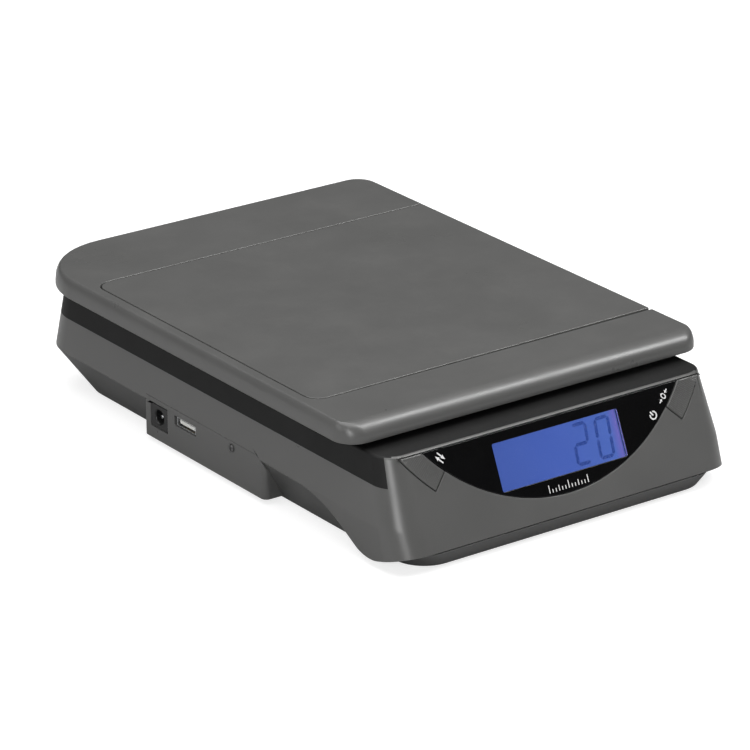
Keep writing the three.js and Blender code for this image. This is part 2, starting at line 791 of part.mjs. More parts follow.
function makeCellBlock(centreY, bottom, top) {
  let block = box(-cellBlockWidth / 2, cellBlockWidth / 2, centreY - cellBlockLength / 2,
    centreY + cellBlockLength / 2, bottom, top);
  for (const { x, y } of cellScrewPlaces(centreY)) {
    block = block.subtract(cylinder(x, y, bottom - 1, top + 1, cellScrewRadius + fitGap, 12));
  }
  return block;
}

// ---------------------------------------------------- display and buttons

function makeLens() {
  return plate(lensShape(lensRadius, lensTopMargin), -lensThickness, 0, 24);
}

function makeLcdLayer(top, bottom, inset) {
  return box(lensCentreX - lcdWidth / 2 + inset, lensCentreX + lcdWidth / 2 - inset,
    -lcdCentreDrop - lcdHeight / 2 + inset, -lcdCentreDrop + lcdHeight / 2 - inset,
    bottom, top);
}

function makeBoard() {
  let board = box(lensCentreX - boardHalfWidth, lensCentreX + boardHalfWidth, -boardBottomDrop,
    -boardTopDrop, -boardDepth - boardThickness, -boardDepth);
  for (const side of [-1, 1]) {
    for (const drop of boardPostDrops) {
      board = board.subtract(cylinder(lensCentreX + side * boardPostX, -drop,
        -boardDepth - boardThickness - 1, -boardDepth + 1, 1.3, 10));
    }
  }
  return board;
}

function makeButton(side) {
  const cap = plate(crescentShape(side, buttonInner, buttonOuter, lensTopMargin, buttonEndAngle),
    -baseFrontWall - fitGap - 0.2, buttonProud, 12);
  const flangeTop = -baseFrontWall - fitGap;
  const flangeShape = crescentShape(side, buttonInner - buttonFlangeReach,
    buttonOuter + buttonFlangeReach, buttonFlangeDrop,
    buttonEndAngle + buttonFlangeReach / buttonMidRadius);
  const flange = plate(flangeShape, flangeTop - buttonFlange, flangeTop, 12);
  const { x, y } = buttonCentre(side);
  const stem = cylinder(x, y, stemEnd, flangeTop - buttonFlange / 2, buttonStemRadius, 12);
  return cap.add(flange).add(stem);
}

function makeSwitch(side) {
  const { x, y } = buttonCentre(side);
  const half = switchSize / 2;
  const bottom = -boardDepth + fitGap;
  const body = box(x - half, x + half, y - half, y + half, bottom, switchTop);
  return body.subtract(cylinder(x, y, bottom + 0.8, switchTop + 1, plungerRadius + fitGap));
}

function makePlunger(side) {
  const { x, y } = buttonCentre(side);
  const bottom = -boardDepth + 2 * fitGap + 0.8 + buttonTravel;
  return cylinder(x, y, bottom, switchTop + plungerProud, plungerRadius);
}

// ---------------------------------------------------------------- sockets

function makeJack() {
  const front = boxOuter + 0.2;
  const body = box(front, jackBack, jackCentre.y - jackWidth / 2, jackCentre.y + jackWidth / 2,
    jackCentre.z - jackHeight / 2, jackCentre.z + jackHeight / 2);
  const bore = crossCylinder(front - 1, front + jackBoreDepth, jackCentre.y, jackCentre.z,
    jackBoreRadius, 20);
  const pinHole = crossCylinder(front, jackBack + 1, jackCentre.y, jackCentre.z,
    jackPinRadius + fitGap, 12);
  return body.subtract(bore).subtract(pinHole);
}

function makeJackPin() {
  return crossCylinder(boxOuter + 1.6, jackBack - 0.3, jackCentre.y, jackCentre.z,
    jackPinRadius, 12);
}

function usbBlock(grow, front, back, size) {
  return box(front, back, usbCentre.y - size.width / 2 + grow, usbCentre.y + size.width / 2 - grow,
    usbCentre.z - size.height / 2 + grow, usbCentre.z + size.height / 2 - grow);
}

function makeUsbShell() {
  const front = boxOuter + usbSetback;
  const back = front + usbShellSize.depth;
  return usbBlock(0, front, back, usbShellSize)
    .subtract(usbBlock(usbShellWall, front - 1, back - 0.6, usbShellSize));
}

function makeUsbTongue() {
  const front = boxOuter + usbSetback + 0.5;
  return usbBlock(0, front, front + usbTongueSize.depth, usbTongueSize);
}

function makeConnectorBoard() {
  const x = boxOuter + usbSetback + usbShellSize.depth + fitGap;
  return box(x, x + connectorBoardThickness, boxFront + 2 * baseWall, boxRear - 2 * baseWall,
    boxBottom + baseWall + fitGap, partingHeight);
}

function makeSideScrew() {
  const head = crossCylinder(boxOuter - 0.9, boxOuter - 0.3, sideScrew.y, sideScrew.z,
    sideScrewHeadRadius);
  const shank = crossCylinder(boxOuter - 0.5, boxOuter + baseWall + 2, sideScrew.y,
    sideScrew.z, sideScrewRadius, 12);
  return head.add(shank);
}

// ---------------------------------------------------------------- battery

function makeBatteryDoor() {
  const [x0, x1, y0, y1] = batteryDoorBox(0);
  const door = box(x0, x1, y0, y1, groundClearance, groundClearance + batteryDoorThickness);
  const grip = box(-8, 8, y1 - 6, y1 - 4, groundClearance - 1, groundClearance + 0.8);
  return door.subtract(grip);
}

function makeBattery() {
  const bottom = groundClearance + batteryDoorThickness + 2;
  const half = { x: batterySize.x / 2, y: batterySize.y / 2 };
  const outline = roundedShape(-half.y, half.y, bottom, bottom + batterySize.z, 2, 2);
  const geometry = plate(outline, -half.x, half.x, 3);
  const turned = toGeometry(geometry);
  turned.applyMatrix4(new THREE.Matrix4().makeBasis(
    new THREE.Vector3(0, 1, 0), new THREE.Vector3(0, 0, 1), new THREE.Vector3(1, 0, 0)));
  turned.translate(0, batteryCentreY, 0);
  return solid(turned);
}

function makeBatterySnap() {
  const x = batterySize.x / 2 + fitGap;
  const z = groundClearance + batteryDoorThickness + 2;
  return box(x, x + 3, batteryCentreY - 11, batteryCentreY + 11, z + 2, z + 15);
}

// --------------------------------------------------------------- assembly

const group = new THREE.Group();
group.add(part('base_upper_shell', makeUpperShell(), greyPlastic));
group.add(part('base_lower_shell', makeLowerShell(), darkPlastic));
group.add(part('weighing_platform', makePlatform(), greyPlastic));
group.add(part('platform_leaf', makeLeaf(), greyPlastic));
group.add(part('platform_carrier', makeCarrier(), aluminium));
group.add(part('load_cell', makeLoadCell(), aluminium));
group.add(part('load_cell_foot', makeCellBlock(fixedBlockY, cellBossHeight + fitGap,
  cellBottom - fitGap), aluminium));
// The post stands clear of the cell by the platform's travel, because the
// cell here is rigid and does not bend.
group.add(part('platform_post', makeCellBlock(movingBlockY, cellTop + platformTravel + fitGap,
  carrierBottom - fitGap), aluminium));

cellScrewPlaces(fixedBlockY).forEach(({ x, y }, i) => {
  const headZ = groundClearance + cellCounterbore - fitGap;
  group.add(part(`load_cell_foot_screw_${i + 1}`, screw(x, y, headZ,
    cellBottom + cellScrewDepth, cellScrewRadius, cellScrewHeadRadius, 1.8), steel));
});
cellScrewPlaces(movingBlockY).forEach(({ x, y }, i) => {
  group.add(part(`platform_post_screw_${i + 1}`, screw(x, y, carrierTop + fitGap,
    cellTop - cellScrewDepth, cellScrewRadius, cellScrewHeadRadius, 1.1), steel));
});
grommetPlaces().forEach(({ x, y }, i) => {
  group.add(part(`platform_grommet_${i + 1}`, makeGrommet(x, y), rubber));
});
stopPlaces().forEach(({ x, y }, i) => {
  const headTop = carrierBottom - platformTravel - 0.1;
  const headBottom = baseTop + fitGap;
  group.add(part(`overload_stop_${i + 1}`, screw(x, y, headBottom,
    baseTop - stopShankLength, stopShankRadius, stopHeadRadius, headTop - headBottom), steel));
});
housingPlaces().forEach(({ x, y }, i) => {
  const headZ = groundClearance + housingBossHeight - baseWall - fitGap;
  group.add(part(`housing_screw_${i + 1}`, screw(x, y, headZ,
    groundClearance + housingBossHeight + housingScrewReach, housingScrewRadius,
    housingScrewHead, 2), steel));
});
footPlaces().forEach(({ x, y }, i) => {
  group.add(part(`rubber_foot_${i + 1}`, cylinder(x, y, 0,
    groundClearance + footRecess - fitGap, footRadius, 24), rubber));
});
group.add(part('battery_door', makeBatteryDoor(), darkPlastic));
group.add(part('battery', makeBattery(), batteryFinish));
group.add(part('battery_snap', makeBatterySnap(), blackPlastic));
group.add(part('dc_jack_housing', makeJack(), blackPlastic));
group.add(part('dc_jack_pin', makeJackPin(), steel));
group.add(part('usb_socket_shell', makeUsbShell(), steel));
group.add(part('usb_socket_tongue', makeUsbTongue(), whitePlastic));
group.add(part('connector_board', makeConnectorBoard(), boardGreen));
group.add(part('side_screw', makeSideScrew(), steel));

// The pieces on the sloping face are drawn in the face's own frame.
const face = new THREE.Group();
face.applyMatrix4(faceMatrix);
group.add(face);
const glassTop = -lensThickness - lcdSetback;
const glassBottom = glassTop - lcdGlassThickness;
face.add(part('display_lens', makeLens(), blackGloss));
face.add(part('lcd_glass', makeLcdLayer(glassTop, glassBottom, 0), lcdBlue));
face.add(part('lcd_backlight', makeLcdLayer(glassBottom - fitGap, -boardDepth + fitGap, 0.4),
  whitePlastic));
face.add(part('main_board', makeBoard(), boardGreen));
for (const [side, label] of [[-1, 'units'], [1, 'power']]) {
  face.add(part(`${label}_button`, makeButton(side), greyPlastic));
  face.add(part(`${label}_switch`, makeSwitch(side), blackPlastic));
  face.add(part(`${label}_switch_plunger`, makePlunger(side), whitePlastic));
  boardPostDrops.forEach((drop, i) => {
    const x = lensCentreX + side * boardPostX;
    const headZ = -boardDepth - boardThickness - fitGap;
    face.add(part(`board_screw_${label}_${i + 1}`, screw(x, -drop, headZ,
      -boardDepth + 6, 0.9, 2, 1.4), steel));
  });
}

export default group;
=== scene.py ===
"""Postal scale with a pull-out leaf: the visible pieces, their finishes and the stage."""

import math

import bmesh
import bpy
from bpy.props import FloatProperty, FloatVectorProperty
from mathutils import Matrix, Vector


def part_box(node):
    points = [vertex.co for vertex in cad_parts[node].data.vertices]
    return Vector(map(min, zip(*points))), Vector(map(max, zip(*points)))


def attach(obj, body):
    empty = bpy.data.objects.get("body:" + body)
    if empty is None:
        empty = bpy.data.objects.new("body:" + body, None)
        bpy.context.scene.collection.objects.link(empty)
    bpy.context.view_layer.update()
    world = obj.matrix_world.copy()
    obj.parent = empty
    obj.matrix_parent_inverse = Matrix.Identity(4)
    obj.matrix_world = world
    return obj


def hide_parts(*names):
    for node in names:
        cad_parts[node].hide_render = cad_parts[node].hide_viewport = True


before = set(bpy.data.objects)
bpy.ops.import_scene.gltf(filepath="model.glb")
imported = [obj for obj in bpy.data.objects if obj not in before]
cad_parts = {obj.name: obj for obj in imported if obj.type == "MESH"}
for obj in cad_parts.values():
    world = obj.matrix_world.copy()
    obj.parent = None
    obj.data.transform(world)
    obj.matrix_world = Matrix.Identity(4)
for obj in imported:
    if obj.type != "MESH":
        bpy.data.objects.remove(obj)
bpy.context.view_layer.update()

bl_info = {
    "name": "Postal Scale Parts",
    "version": (1, 0, 0),
    "blender": (4, 5, 0),
    "location": "3D View > Sidebar > Postal Scale",
    "description": "Builds the casing, platform, display, sockets and stage of a postal scale",
    "category": "Object",
}

# ------------------------------------------------------------ places from the frame

platform_low, platform_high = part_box("weighing_platform")
_, leaf_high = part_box("platform_leaf")
casing_low, casing_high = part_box("base_upper_shell")
tray_low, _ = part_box("base_lower_shell")
lens_low, lens_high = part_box("display_lens")
lcd_low, lcd_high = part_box("lcd_glass")
jack_low, jack_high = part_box("dc_jack_housing")
usb_low, usb_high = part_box("usb_socket_shell")
tongue_low, tongue_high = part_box("usb_socket_tongue")
side_screw_low, side_screw_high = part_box("side_screw")
door_low, door_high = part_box("battery_door")
carrier_low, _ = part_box("platform_carrier")


def middle(node):
    """The centre of a CAD node's box."""
    low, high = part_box(node)
    return (low + high) / 2


def numbered(stem, count):
    """The names of like CAD nodes, stem_1 to stem_count."""
    return [f"{stem}_{number}" for number in range(1, count + 1)]


# ------------------------------------------------------------------------ settings

def length(name, description, default):
    """A size in metres that the user may change."""
    return FloatProperty(name=name, description=description, default=default,
                         min=0.0, precision=5, unit="LENGTH")


def turn(name, description, degrees):
    """An angle that the user may change."""
    return FloatProperty(name=name, description=description, default=math.radians(degrees),
                         subtype="ANGLE", unit="ROTATION")


def tint(name, description, default):
    """A colour that the user may change."""
    return FloatVectorProperty(name=name, description=description, default=default,
                               size=3, min=0.0, max=1.0, subtype="COLOR")


class PlatformSettings(bpy.types.PropertyGroup):
    """Sizes of the weighing platform and its pull-out leaf."""
    wall: length("Wall", "Thickness of the moulded cover", 0.0022)
    rim: length("Rim", "Height of the plain rim under the rounded edge", 0.0015)
    front_radius: length("Front Radius", "Radius of the two front corners", 0.011)
    rear_radius: length("Rear Radius", "Radius of the right rear corner", 0.012)
    rear_left_radius: length("Rear Left Radius", "Radius of the left rear corner", 0.041)
    side_rounding: length("Side Rounding", "How far the sides' edge rounds in", 0.003)
    recess_floor: length("Recess Floor", "Thickness of the floor under the leaf", 0.0016)
    front_strip: length("Front Strip", "Fixed strip in front of the leaf", 0.0345)
    rear_strip: length("Rear Strip", "Fixed strip behind the leaf", 0.052)
    left_strip: length("Left Strip", "Fixed strip left of the leaf", 0.007)
    leaf_thickness: length("Leaf Thickness", "Thickness of the pull-out leaf", 0.0026)
    leaf_play: length("Leaf Play", "Gap under the leaf and over its hooks", 0.0004)
    leaf_gap: length("Leaf Gap", "Gap on the left, rear and near front of the leaf", 0.0007)
    leaf_gap_right: length("Leaf Gap Right", "Gap at the front of the leaf's open end", 0.002)
    leaf_lip: length("Leaf Lip", "Thickness of the end lip that hangs down", 0.0024)
    leaf_corner: length("Leaf Corner", "Radius of the recess corners", 0.008)
    leaf_travel: length("Leaf Travel", "How far the leaf pulls out", 0.08)
    hook_length: length("Hook Length", "Length of each snap hook", 0.006)
    hook_neck: length("Hook Neck", "Width of a hook's neck", 0.005)
    hook_head: length("Hook Head", "Width of a hook's head", 0.010)
    hook_inset: length("Hook Inset", "From the recess edge to a hook", 0.023)
    hook_set: length("Hook Set", "From the recess's left edge to a hook", 0.013)
    hook_thickness: length("Hook Thickness", "Thickness of a hook's head", 0.0012)
    peg_radius: length("Peg Radius", "Radius of the pegs in the grommets", 0.0025)
    edge: length("Edge", "Rounding of the small edges", 0.0004)


class CasingSettings(bpy.types.PropertyGroup):
    """Sizes of the two casing shells."""
    wall: length("Wall", "Thickness of the side walls", 0.0024)
    front_wall: length("Front Wall", "Thickness of the sloping front", 0.0032)
    side_lean: length("Side Lean", "How far the sides lean in at the top", 0.004)
    shoulder: length("Shoulder", "Height of the leaning part of the sides", 0.029)
    rear_set: length("Rear Set", "How far the rear leans in at the top", 0.003)
    rear_radius: length("Rear Radius", "Radius of the rear corners", 0.022)
    top_edge: length("Top Edge", "Rounding of the casing's top edge", 0.0011)
    # Above this height the upper walls and the deck take the near-black painted shade.
    band: length("Band", "Height at which the dark upper band starts", 0.0371)
    nose_lean: turn("Nose Lean", "Lean of the sloping front from upright", 24)
    nose_seam: length("Nose Seam", "Height of the parting line at the nose", 0.009)
    nose_top_radius: length("Nose Top Radius", "Front corner radius at the top", 0.010)
    nose_floor_radius: length("Nose Floor Radius", "Front corner radius at the table", 0.018)
    parting: length("Parting", "Height of the parting line along the sides", 0.020)
    bend_rear: length("Bend Rear", "From the nose to where the parting line dips", 0.068)
    bend_front: length("Bend Front", "From the nose to the bottom of the dip", 0.027)
    bend_rear_lead: length("Bend Rear Lead", "How far the rear bend starts early", 0.006)
    bend_rear_radius: length("Bend Rear Radius", "Radius of the parting line's rear bend", 0.016)
    bend_front_radius: length("Bend Front Radius", "Radius of the bottom of the dip", 0.0085)
    nose_dip: length("Nose Dip", "Height of the parting line at its lowest", 0.001)
    seam_gap: length("Seam Gap", "Gap on each side of the parting line", 0.0002)
    play: length("Play", "Gap between pieces that fit together", 0.0003)
    side_inset: length("Side Inset", "How far the underside is set in at the sides", 0.0105)
    front_inset: length("Front Inset", "How far the underside is set in at the nose", 0.004)
    rear_inset: length("Rear Inset", "How far the underside is set in behind", 0.018)
    upper_inset: length("Upper Inset", "How far the lower shell is set in at its top", 0.0006)
    tray_front_radius: length("Tray Front Radius", "Front radius of the lower shell", 0.016)
    tray_rear_radius: length("Tray Rear Radius", "Rear radius of the lower shell", 0.020)
    box_depth: length("Box Depth", "Depth of the connector box", 0.015)
    box_front: length("Box Front", "Where the connector box starts", -0.0444)
    box_rear: length("Box Rear", "Where the connector box ends", 0.0539)
    box_bottom: length("Box Bottom", "Height of the connector box's underside", 0.0022)
    box_corner: length("Box Corner", "Radius of the connector box's corners", 0.003)
    box_bend: length("Box Bend", "Radius of the connector box's top front corner", 0.006)
    socket_split: length("Socket Split", "From the side screw's foot to the wall's split", 0.0012)
    post_radius: length("Post Radius", "Radius of the posts that take the screws", 0.004)
    post_bore: length("Post Bore", "Radius of the holes in those posts", 0.0016)
    post_bore_depth: length("Post Bore Depth", "Depth of the holes in those posts", 0.013)
    boss_height: length("Boss Height", "Height of the lower shell's screw bosses", 0.010)
    boss_radius: length("Boss Radius", "Radius of the lower shell's screw bosses", 0.0056)
    boss_bore: length("Boss Bore", "Radius of the recess for a housing screw's head", 0.0038)
    stop_bore: length("Stop Bore", "Radius of the holes for the overload stops", 0.0019)
    stop_foot: length("Stop Foot", "Height at which those holes start", 0.030)
    cell_bore: length("Cell Bore", "Radius of the recess for a load cell screw", 0.0042)
    cell_recess: length("Cell Recess", "Depth of the recess for a load cell screw", 0.0032)
    column_gap: length("Column Gap", "Gap round the column that carries the platform", 0.004)
    data_margin: length("Data Margin", "Gap at each end of the data socket's opening", 0.0012)
    data_corner: length("Data Opening Corner", "Corner radius of that opening", 0.0006)
    side_screw_bore: length("Side Screw Bore", "Radius of the side screw's hole", 0.0013)
    edge: length("Edge", "Rounding of the small edges", 0.00025)


class DisplaySettings(bpy.types.PropertyGroup):
    """Sizes of the lens, the display and the two keys."""
    lens_thickness: length("Lens Thickness", "Thickness of the lens", 0.0014)
    lens_gap: length("Lens Gap", "Gap round the lens", 0.0003)
    lcd_width: length("Display Width", "Visible width of the display", 0.070)
    lcd_height: length("Display Height", "Visible height of the display", 0.0218)
    lcd_drop: length("Display Drop", "From the casing's top edge to the display", 0.0166)
    lcd_depth: length("Display Depth", "From the face to the display's glass", 0.002)
    lcd_corner: length("Display Corner", "Radius of the display's corners", 0.0008)
    lcd_thickness: length("Display Thickness", "Thickness of the display's glass", 0.0018)
    digit_start: length("Digit Start", "From the display's middle to the first digit", 0.00875)
    digit_width: length("Digit Width", "Width of a digit", 0.0072)
    digit_height: length("Digit Height", "Height of a digit", 0.0176)
    digit_pitch: length("Digit Pitch", "From one digit to the next", 0.0129)
    digit_stroke: length("Digit Stroke", "Width of a digit's bars", 0.0016)
    digit_lean: turn("Digit Lean", "Slant of the digits", 4)
    key_gap: length("Key Gap", "Gap round each key", 0.0005)
    key_band: length("Key Band", "Width of each key", 0.0098)
    key_end: turn("Key End", "Where the keys end, below the lens's centre line", 46.5)
    key_rounding: length("Key Rounding", "Rounding of the keys' rims", 0.0005)
    flange_reach: length("Flange Reach", "How far a key's flange stands out", 0.0009)
    flange_thickness: length("Flange Thickness", "Thickness of a key's flange", 0.001)
    flange_drop: length("Flange Drop", "From the casing's top edge to the flanges", 0.008)
    stem_radius: length("Stem Radius", "Radius of a key's stem", 0.002)
    stem_reach: length("Stem Reach", "From the sloping face to the end of a stem", 0.0072)
    key_proud: length("Key Proud", "How far the keys stand out", 0.0003)
    swap_angle: turn("Swap Sign Angle", "Where the swap sign is, below the centre line", 43.5)
    power_angle: turn("Power Sign Angle", "Where the power sign is, below the centre line", 51.5)
    zero_angle: turn("Zero Sign Angle", "Where the zero sign is, below the centre line", 44.5)
    mark_height: length("Mark Height", "Height of the printed marks", 0.0036)
    mark_thickness: length("Mark Thickness", "Thickness of the ink", 0.00003)
    tick_pitch: length("Tick Pitch", "From one graduation tick to the next", 0.0018)
    tick_width: length("Tick Width", "Width of a graduation tick", 0.00042)
    tick_drop: length("Tick Drop", "From the display to the foot of the ticks", 0.0062)


class SocketSettings(bpy.types.PropertyGroup):
    """Sizes of the power and data sockets."""
    jack_bore: length("Power Bore", "Radius of the power socket's bore", 0.0034)
    jack_depth: length("Power Depth", "Depth of the power socket's bore", 0.009)
    jack_flare: length("Power Flare", "Width of the flare at the bore's mouth", 0.0006)
    jack_corner: length("Power Corner", "Radius of the power socket's corners", 0.0008)
    pin_radius: length("Pin Radius", "Radius of the power socket's pin", 0.00105)
    usb_wall: length("Data Wall", "Thickness of the data socket's shell", 0.0004)
    usb_corner: length("Data Corner", "Radius of the data socket's corners", 0.0006)
    spring_offset: length("Spring Offset", "From the middle to a spring window", 0.0035)
    spring_width: length("Spring Width", "Width of a spring window", 0.0018)
    spring_start: length("Spring Start", "From the socket's mouth to its windows", 0.003)
    spring_length: length("Spring Length", "Length of a spring window", 0.005)
    tongue_chamfer: length("Tongue Chamfer", "Chamfer of the tongue's front edge", 0.0004)
    contact_inset: length("Contact Inset", "From the tongue's front to its contacts", 0.0008)
    contact_end: length("Contact End", "From the contacts to the tongue's rear end", 0.001)
    contact_thickness: length("Contact Thickness", "Thickness of a contact", 0.00013)
    contact_width: length("Contact Width", "Width of each data contact", 0.0011)
    contact_pitch: length("Contact Pitch", "From one data contact to the next", 0.0024)


class FinishSettings(bpy.types.PropertyGroup):
    """Colours of the finishes."""
    grey: tint("Casing Grey", "Moulded grey of the platform and upper casing", (0.090, 0.090, 0.088))
    dark_grey: tint("Dark Grey", "Moulded grey of the lower shell", (0.060, 0.060, 0.059))
    # The near-black deck colour is painted shade for the band and deck under the platform.
    deck: tint("Painted Shade Band", "Near-black band and deck under the platform", (0.006, 0.006, 0.006))
    lens: tint("Lens Black", "Printed black behind the lens", (0.0022, 0.0022, 0.0024))
    black: tint("Black", "Black plastic of sockets and switches", (0.010, 0.010, 0.010))
    white: tint("White", "White plastic of the socket tongue and backlight", (0.72, 0.72, 0.69))
    ink: tint("Ink", "Printed marks on the lens", (0.70, 0.70, 0.70))
    glow: tint("Display Blue", "Lit blue of the display", (0.060, 0.115, 0.43))
    glow_right: tint("Display Blue Right", "Lit blue at the right end", (0.078, 0.150, 0.50))
    digit: tint("Digit Blue", "Darker blue of the digits", (0.030, 0.068, 0.30))
    board: tint("Board Green", "Solder mask of the boards", (0.010, 0.085, 0.030))
    aluminium: tint("Aluminium", "Machined aluminium", (0.62, 0.63, 0.64))
    steel: tint("Steel", "Plated steel", (0.56, 0.57, 0.58))
    dark_steel: tint("Blackened Steel", "Blackened steel of the side screw", (0.16, 0.16, 0.16))
    gold: tint("Gold", "Plated contacts", (0.83, 0.60, 0.22))
    rubber: tint("Rubber", "Black rubber", (0.010, 0.010, 0.010))
    battery: tint("Battery", "Sleeve of the battery", (0.022, 0.026, 0.038))


class StageSettings(bpy.types.PropertyGroup):
    """The floor, the lights and the camera."""
    floor_size: length("Floor Size", "Side of the pale floor", 8.0)
    floor_drop: length("Floor Drop", "How far the floor lies under the feet", 0.0002)
    sky: FloatProperty(name="Sky", description="Brightness all round", default=0.05, min=0.0)
    top_light: FloatProperty(name="Top Light", description="Power of the large light above",
                             default=43.0, min=0.0, unit="POWER")
    side_light: FloatProperty(name="Side Light", description="Power of the light on the left",
                              default=6.5, min=0.0, unit="POWER")
    nose_light: FloatProperty(name="Nose Light", description="Power of the light at the left front",
                              default=10.0, min=0.0, unit="POWER")
    edge_light: FloatProperty(name="Edge Light", description="Power of the strip at the right front",
                              default=20.0, min=0.0, unit="POWER")
    floor_glow: FloatProperty(name="Floor Glow", description="Own brightness of the floor",
                              default=0.74, min=0.0)
    azimuth: turn("Azimuth", "Camera's turn from straight ahead", 36.1)
    elevation: turn("Elevation", "Camera's height above the table", 22.0)
    target: FloatVectorProperty(name="Target", description="The point the camera looks at",
                                default=(0.03783, 0.05267, 0.0), size=3, precision=5,
                                subtype="TRANSLATION", unit="LENGTH")
    distance: length("Distance", "From the camera to the point it looks at", 2.095)
    lens: FloatProperty(name="Lens", description="Focal length for a 36 mm sensor",
                        default=209.1, min=1.0)


# ------------------------------------------------------------------- shaping tools

# How far a cutting tool reaches past the face that it cuts.
PAST = 0.001


def outline(bm, corners, segments):
    """A flat face through corners, each given as (point, radius) and rounded off."""
    verts = [bm.verts.new(point) for point, _ in corners]
    bm.faces.new(verts)
    for radius in sorted({radius for _, radius in corners if radius > 0}):
        sharp = [vert for vert, (_, own) in zip(verts, corners) if own == radius]
        bmesh.ops.bevel(bm, geom=sharp, offset=radius, offset_type="OFFSET", segments=segments,
                        profile=0.5, affect="VERTICES", material=-1)


def rectangle(low_x, high_x, low_y, high_y, z, front_radius=0.0, rear_radius=0.0,
              rear_left=None):
    """The corners of a level rectangle; the left rear corner may have its own radius."""
    rear_left = rear_radius if rear_left is None else rear_left
    return [((low_x, low_y, z), front_radius), ((high_x, low_y, z), front_radius),
            ((high_x, high_y, z), rear_radius), ((low_x, high_y, z), rear_left)]


def upright(x, y_range, z_range, radius):
    """The corners of an upright rectangle that faces along X, all with one radius."""
    low_y, high_y = y_range
    low_z, high_z = z_range
    return [((x, low_y, low_z), radius), ((x, high_y, low_z), radius),
            ((x, high_y, high_z), radius), ((x, low_y, high_z), radius)]


def swept(corners, sweep, segments=10):
    """A closed solid: an outline carried along a straight line."""
    bm = bmesh.new()
    outline(bm, corners, segments)
    ends = bmesh.ops.extrude_face_region(bm, geom=bm.faces[:])["geom"]
    moved = [part for part in ends if isinstance(part, bmesh.types.BMVert)]
    bmesh.ops.translate(bm, vec=sweep, verts=moved)
    bmesh.ops.recalc_face_normals(bm, faces=bm.faces[:])
    return bm


def block(low, high):
    """A plain block, for cutting or joining."""
    low, high = Vector(low), Vector(high)
    corners = rectangle(low.x, high.x, low.y, high.y, low.z)
    return swept(corners, (0, 0, high.z - low.z))


def lofted(levels, segments=10):
    """A closed solid through outlines with like corners, the lowest first."""
    bm = bmesh.new()
    rings = []
    for corners in levels:
        known = set(bm.edges)
        outline(bm, corners, segments)
        rings.append([edge for edge in bm.edges if edge not in known])
    between = [ring[0].link_faces[0] for ring in rings[1:-1]]
    bmesh.ops.delete(bm, geom=between, context="FACES_ONLY")
    for lower, upper in zip(rings, rings[1:]):
        bmesh.ops.bridge_loops(bm, edges=lower + upper)
    bmesh.ops.recalc_face_normals(bm, faces=bm.faces[:])
    return bm


def rod(start, end, radius, segments=32):
    """A round rod from start to end, for cutting or joining."""
    start, end = Vector(start), Vector(end)
    along = end - start
    bm = bmesh.new()
    facing = along.to_track_quat("Z", "Y").to_matrix().to_4x4()
    place = Matrix.Translation((start + end) / 2) @ facing
    bmesh.ops.create_cone(bm, cap_ends=True, segments=segments, radius1=radius,
                          radius2=radius, depth=along.length, matrix=place)
    return bm


def turned(profile, place, segments=32):
    """A closed round solid: a profile of (radius, height) spun about its own axis."""
    bm = bmesh.new()
    verts = [bm.verts.new((radius, 0, height)) for radius, height in profile]
    edges = [bm.edges.new(pair) for pair in zip(verts, verts[1:])]
    bmesh.ops.spin(bm, geom=verts + edges, cent=(0, 0, 0), axis=(0, 0, 1), dvec=(0, 0, 0),
                   angle=math.tau, steps=segments, use_merge=True, use_duplicate=False)
    bmesh.ops.remove_doubles(bm, verts=bm.verts[:], dist=1e-6)
    bmesh.ops.recalc_face_normals(bm, faces=bm.faces[:])
    bmesh.ops.transform(bm, matrix=place, verts=bm.verts[:])
    return bm


def arc_band(centre, inner, outer, start, end, low, high, steps):
    """A closed band round a centre from one angle to another, between two heights."""
    bm = bmesh.new()
    square = ((inner, low), (outer, low), (outer, high), (inner, high))
    verts = [bm.verts.new((radius, 0, height)) for radius, height in square]
    bm.faces.new(verts)
    bmesh.ops.rotate(bm, cent=(0, 0, 0), matrix=Matrix.Rotation(start, 3, "Z"), verts=verts)
    bmesh.ops.spin(bm, geom=bm.verts[:] + bm.edges[:] + bm.faces[:], cent=(0, 0, 0),
                   axis=(0, 0, 1), dvec=(0, 0, 0), angle=end - start, steps=steps,
                   use_merge=False, use_duplicate=False)
    bmesh.ops.translate(bm, vec=(centre[0], centre[1], 0), verts=bm.verts[:])
    bmesh.ops.recalc_face_normals(bm, faces=bm.faces[:])
    return bm


def gathered(*solids):
    """One mesh that holds several solids that do not touch."""
    whole = bmesh.new()
    for solid in solids:
        mesh = bpy.data.meshes.new("part")
        solid.to_mesh(mesh)
        solid.free()
        whole.from_mesh(mesh)
        bpy.data.meshes.remove(mesh)
    return whole


def combined(body, tool, operation):
    """The solid that is left when two solids are joined, cut or crossed."""
    pair = []
    for solid in (body, tool):
        mesh = bpy.data.meshes.new("work")
        solid.to_mesh(mesh)
        solid.free()
        pair.append(bpy.data.objects.new("work", mesh))
        bpy.context.scene.collection.objects.link(pair[-1])
    modifier = pair[0].modifiers.new("work", "BOOLEAN")
    modifier.object = pair[1]
    modifier.operation = operation
    modifier.solver = "EXACT"
    result = bmesh.new()
    result.from_object(pair[0], bpy.context.evaluated_depsgraph_get())
    for work in pair:
        mesh = work.data
        bpy.data.objects.remove(work)
        bpy.data.meshes.remove(mesh)
    if not result.faces:
        raise RuntimeError("Two solids left nothing when they were combined")
    bmesh.ops.remove_doubles(result, verts=result.verts[:], dist=2e-6)
    bmesh.ops.dissolve_degenerate(result, dist=2e-6, edges=result.edges[:])
    return result


def cut(body, *tools):
    """The body without each tool's space."""
    for tool in tools:
        body = combined(body, tool, "DIFFERENCE")
    return body


def joined(body, *others):
    """The body and the other solids as one."""
    for other in others:
        body = combined(body, other, "UNION")
    return body


def crossed(body, other):
    """Only what both solids fill."""
    return combined(body, other, "INTERSECT")


def moved(bm, place):
    """The solid after it is carried by a matrix."""
    bmesh.ops.transform(bm, matrix=place, verts=bm.verts[:])
    return bm


